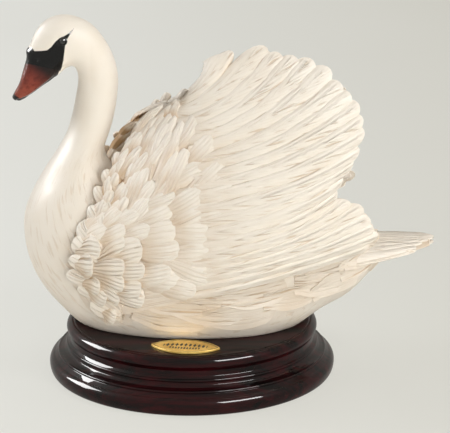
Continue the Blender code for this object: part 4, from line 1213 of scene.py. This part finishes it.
# %% [markdown]
# ## Hidden hardware and felt
# Screws, washers and the felt pad keep the part's own shapes. They get brushed steel and a
# fibrous felt, for whoever turns the figurine over.

# %% Steel and felt
steel, tree, shader = new_material("zinc_steel", Metallic=1.0)
frosting = noise(tree, object_place(tree), 600.0, 4.0)
feed(tree, shader, Base_Color=mixed(tree, frosting, colour(150, 152, 156), colour(206, 207, 204)),
     Roughness=ramp(tree, frosting, 0.3, 0.7, 0.25, 0.45))
felt, tree, shader = new_material("baize_felt", Roughness=0.95)
place = object_place(tree)
fibres = noise(tree, place, 1400.0, 3.0, distortion=2.0)
green = mixed(tree, noise(tree, place, 90.0, 2.0), colour(30, 58, 40), colour(44, 78, 54))
feed(tree, shader, Base_Color=mixed(tree, ramp(tree, fibres, 0.4, 0.65), green, colour(74, 108, 82)),
     Normal=bumped(tree, fibres, 0.3 * MM, 0.8))
for name, finish in (("screw_front", steel), ("screw_rear", steel), ("washer_front", steel),
                     ("washer_rear", steel), ("felt_pad", felt)):
    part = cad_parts[name]
    for place_in_list in range(len(part.data.materials)):
        part.data.materials[place_in_list] = finish
    if not part.data.materials:
        part.data.materials.append(finish)

# %% [markdown]
# ## Floor and light
# A plain pale sheet lies under the swan; painted shade darkens its colour a little to the right.
# Softboxes stand at the front right, at the left and low in front, and one lights the wings from
# above and behind. Two bright cards draw the long highlights on the lacquer and light no dull
# surface. The sky is even, but dim behind the camera, as in a studio, so the lacquer keeps its depth.

# %% Floor
def seen_directly(tree):
    """1 for rays from the camera, through glass or off a gloss, and 0 for those that carry light."""
    path = tree.nodes.new("ShaderNodeLightPath")
    seen = maths(tree, "MAXIMUM", path.outputs["Is Camera Ray"], path.outputs["Is Transmission Ray"])
    return maths(tree, "MAXIMUM", seen, path.outputs["Is Glossy Ray"])


SHEET_GLOW, FLOOR_STEPS = 0.8, 96
paper, tree, shader = new_material("backdrop_paper", Roughness=0.85, Specular_IOR_Level=0.2)
place = object_place(tree)
# Painted shade: the sheet's colour darkens from left to right.
shade_to_right = ramp(tree, node(tree, "ShaderNodeSeparateXYZ", {0: place}).outputs[0], -0.35, 0.45)
sheet_colour = mixed(tree, shade_to_right, colour(232, 232, 226), colour(211, 209, 199))
fleck = ramp(tree, noise(tree, place, 1.2, 2.0), 0.35, 0.65, 0.0, 0.3)
sheet_colour = mixed(tree, fleck, sheet_colour, colour(222, 221, 213))
feed(tree, shader, Base_Color=mixed(tree, 0.5, sheet_colour, colour(246, 245, 241)))
glow = node(tree, "ShaderNodeEmission", {"Color": sheet_colour, "Strength": 1.0})
share_of_glow = maths(tree, "MULTIPLY", seen_directly(tree), SHEET_GLOW)
paper_mix = node(tree, "ShaderNodeMixShader", {0: share_of_glow, 1: shader.outputs[0], 2: glow.outputs[0]})
feed(tree, tree.nodes["Material Output"], Surface=paper_mix.outputs[0])

# %% Floor sheet
radius = np.array([0.5, 2500.0, 4000.0, 6000.0])[:, None]
angles = np.linspace(0, 2 * math.pi, FLOOR_STEPS, endpoint=False)
ring = np.stack([radius * np.cos(angles), radius * np.sin(angles), 0 * radius * angles], -1)
index = np.arange(ring[..., 0].size).reshape(-1, FLOOR_STEPS)
rings = quads(np.hstack([index, index[:, :1]]))[:, ::-1].tolist() + [index[0].tolist()]
floor_mesh = bpy.data.meshes.new("floor")
floor_mesh.from_pydata((ring.reshape(-1, 3) * MM).tolist(), [], rings)
floor_mesh.materials.append(paper)
floor = bpy.data.objects.new("floor", floor_mesh)
bpy.context.scene.collection.objects.link(floor)
print("floor:", len(rings), "faces")


# %% Lights
def softbox(name, azimuth, elevation, distance, size, power, tint):
    """Rectangular lamp aimed at the swan; azimuth counts from the camera's side towards +X."""
    light = bpy.data.lights.new(name, "AREA")
    light.shape = "RECTANGLE"
    light.size, light.size_y = size
    light.energy = power
    light.color = tint
    made = bpy.data.objects.new(name, light)
    a, e = math.radians(azimuth), math.radians(elevation)
    way = Vector((math.sin(a) * math.cos(e), -math.cos(a) * math.cos(e), math.sin(e)))
    made.location = TARGET + distance * way
    made.rotation_euler = way.to_track_quat("Z", "Y").to_euler()
    bpy.context.scene.collection.objects.link(made)
    return made


WHITE, WARM = (1.0, 1.0, 1.0), (1.0, 0.98, 0.94)
LAMPS = (("softbox_right", 50, 40, 1.5, (0.36, 0.44), 6.4, (1.0, 0.985, 0.955), "visible_glossy"),
         ("softbox_left", -100, 26, 1.4, (0.4, 0.5), 5.2, WHITE, "visible_glossy"),
         ("softbox_top", 125, 66, 1.6, (0.7, 0.7), 2.2, WARM, None),
         ("softbox_low", 12, 10, 1.8, (0.9, 0.35), 13.0, WARM, "visible_glossy"),
         ("card_right", 43, 37, 1.5, (0.85, 0.36), 48.0, WHITE, "visible_diffuse"),
         ("card_left", -104, 26, 1.5, (0.7, 0.7), 68.0, WHITE, "visible_diffuse"))
for *lamp, hidden_from in LAMPS:
    made = softbox(*lamp)
    if hidden_from:
        setattr(made, hidden_from, False)
print("lamps:", [lamp[0] for lamp in LAMPS])

# %% Sky
sky = bpy.data.worlds.new("studio")
bpy.context.scene.world = sky
sky.use_nodes = True
tree = sky.node_tree
even = tree.nodes["Background"]
even.inputs["Color"].default_value = (1.0, 0.99, 0.97, 1.0)
way = node(tree, "ShaderNodeSeparateXYZ", {0: tree.nodes.new("ShaderNodeTexCoord").outputs["Generated"]})
feed(tree, even, Strength=ramp(tree, way.outputs[1], -0.75, 0.15, 0.1, 0.48))
backdrop = node(tree, "ShaderNodeBackground", {"Color": colour(223, 222, 213), "Strength": 1.0})
choice = node(tree, "ShaderNodeMixShader", {0: seen_directly(tree), 1: even.outputs[0],
                                            2: backdrop.outputs[0]})
feed(tree, tree.nodes["World Output"], Surface=choice.outputs[0])
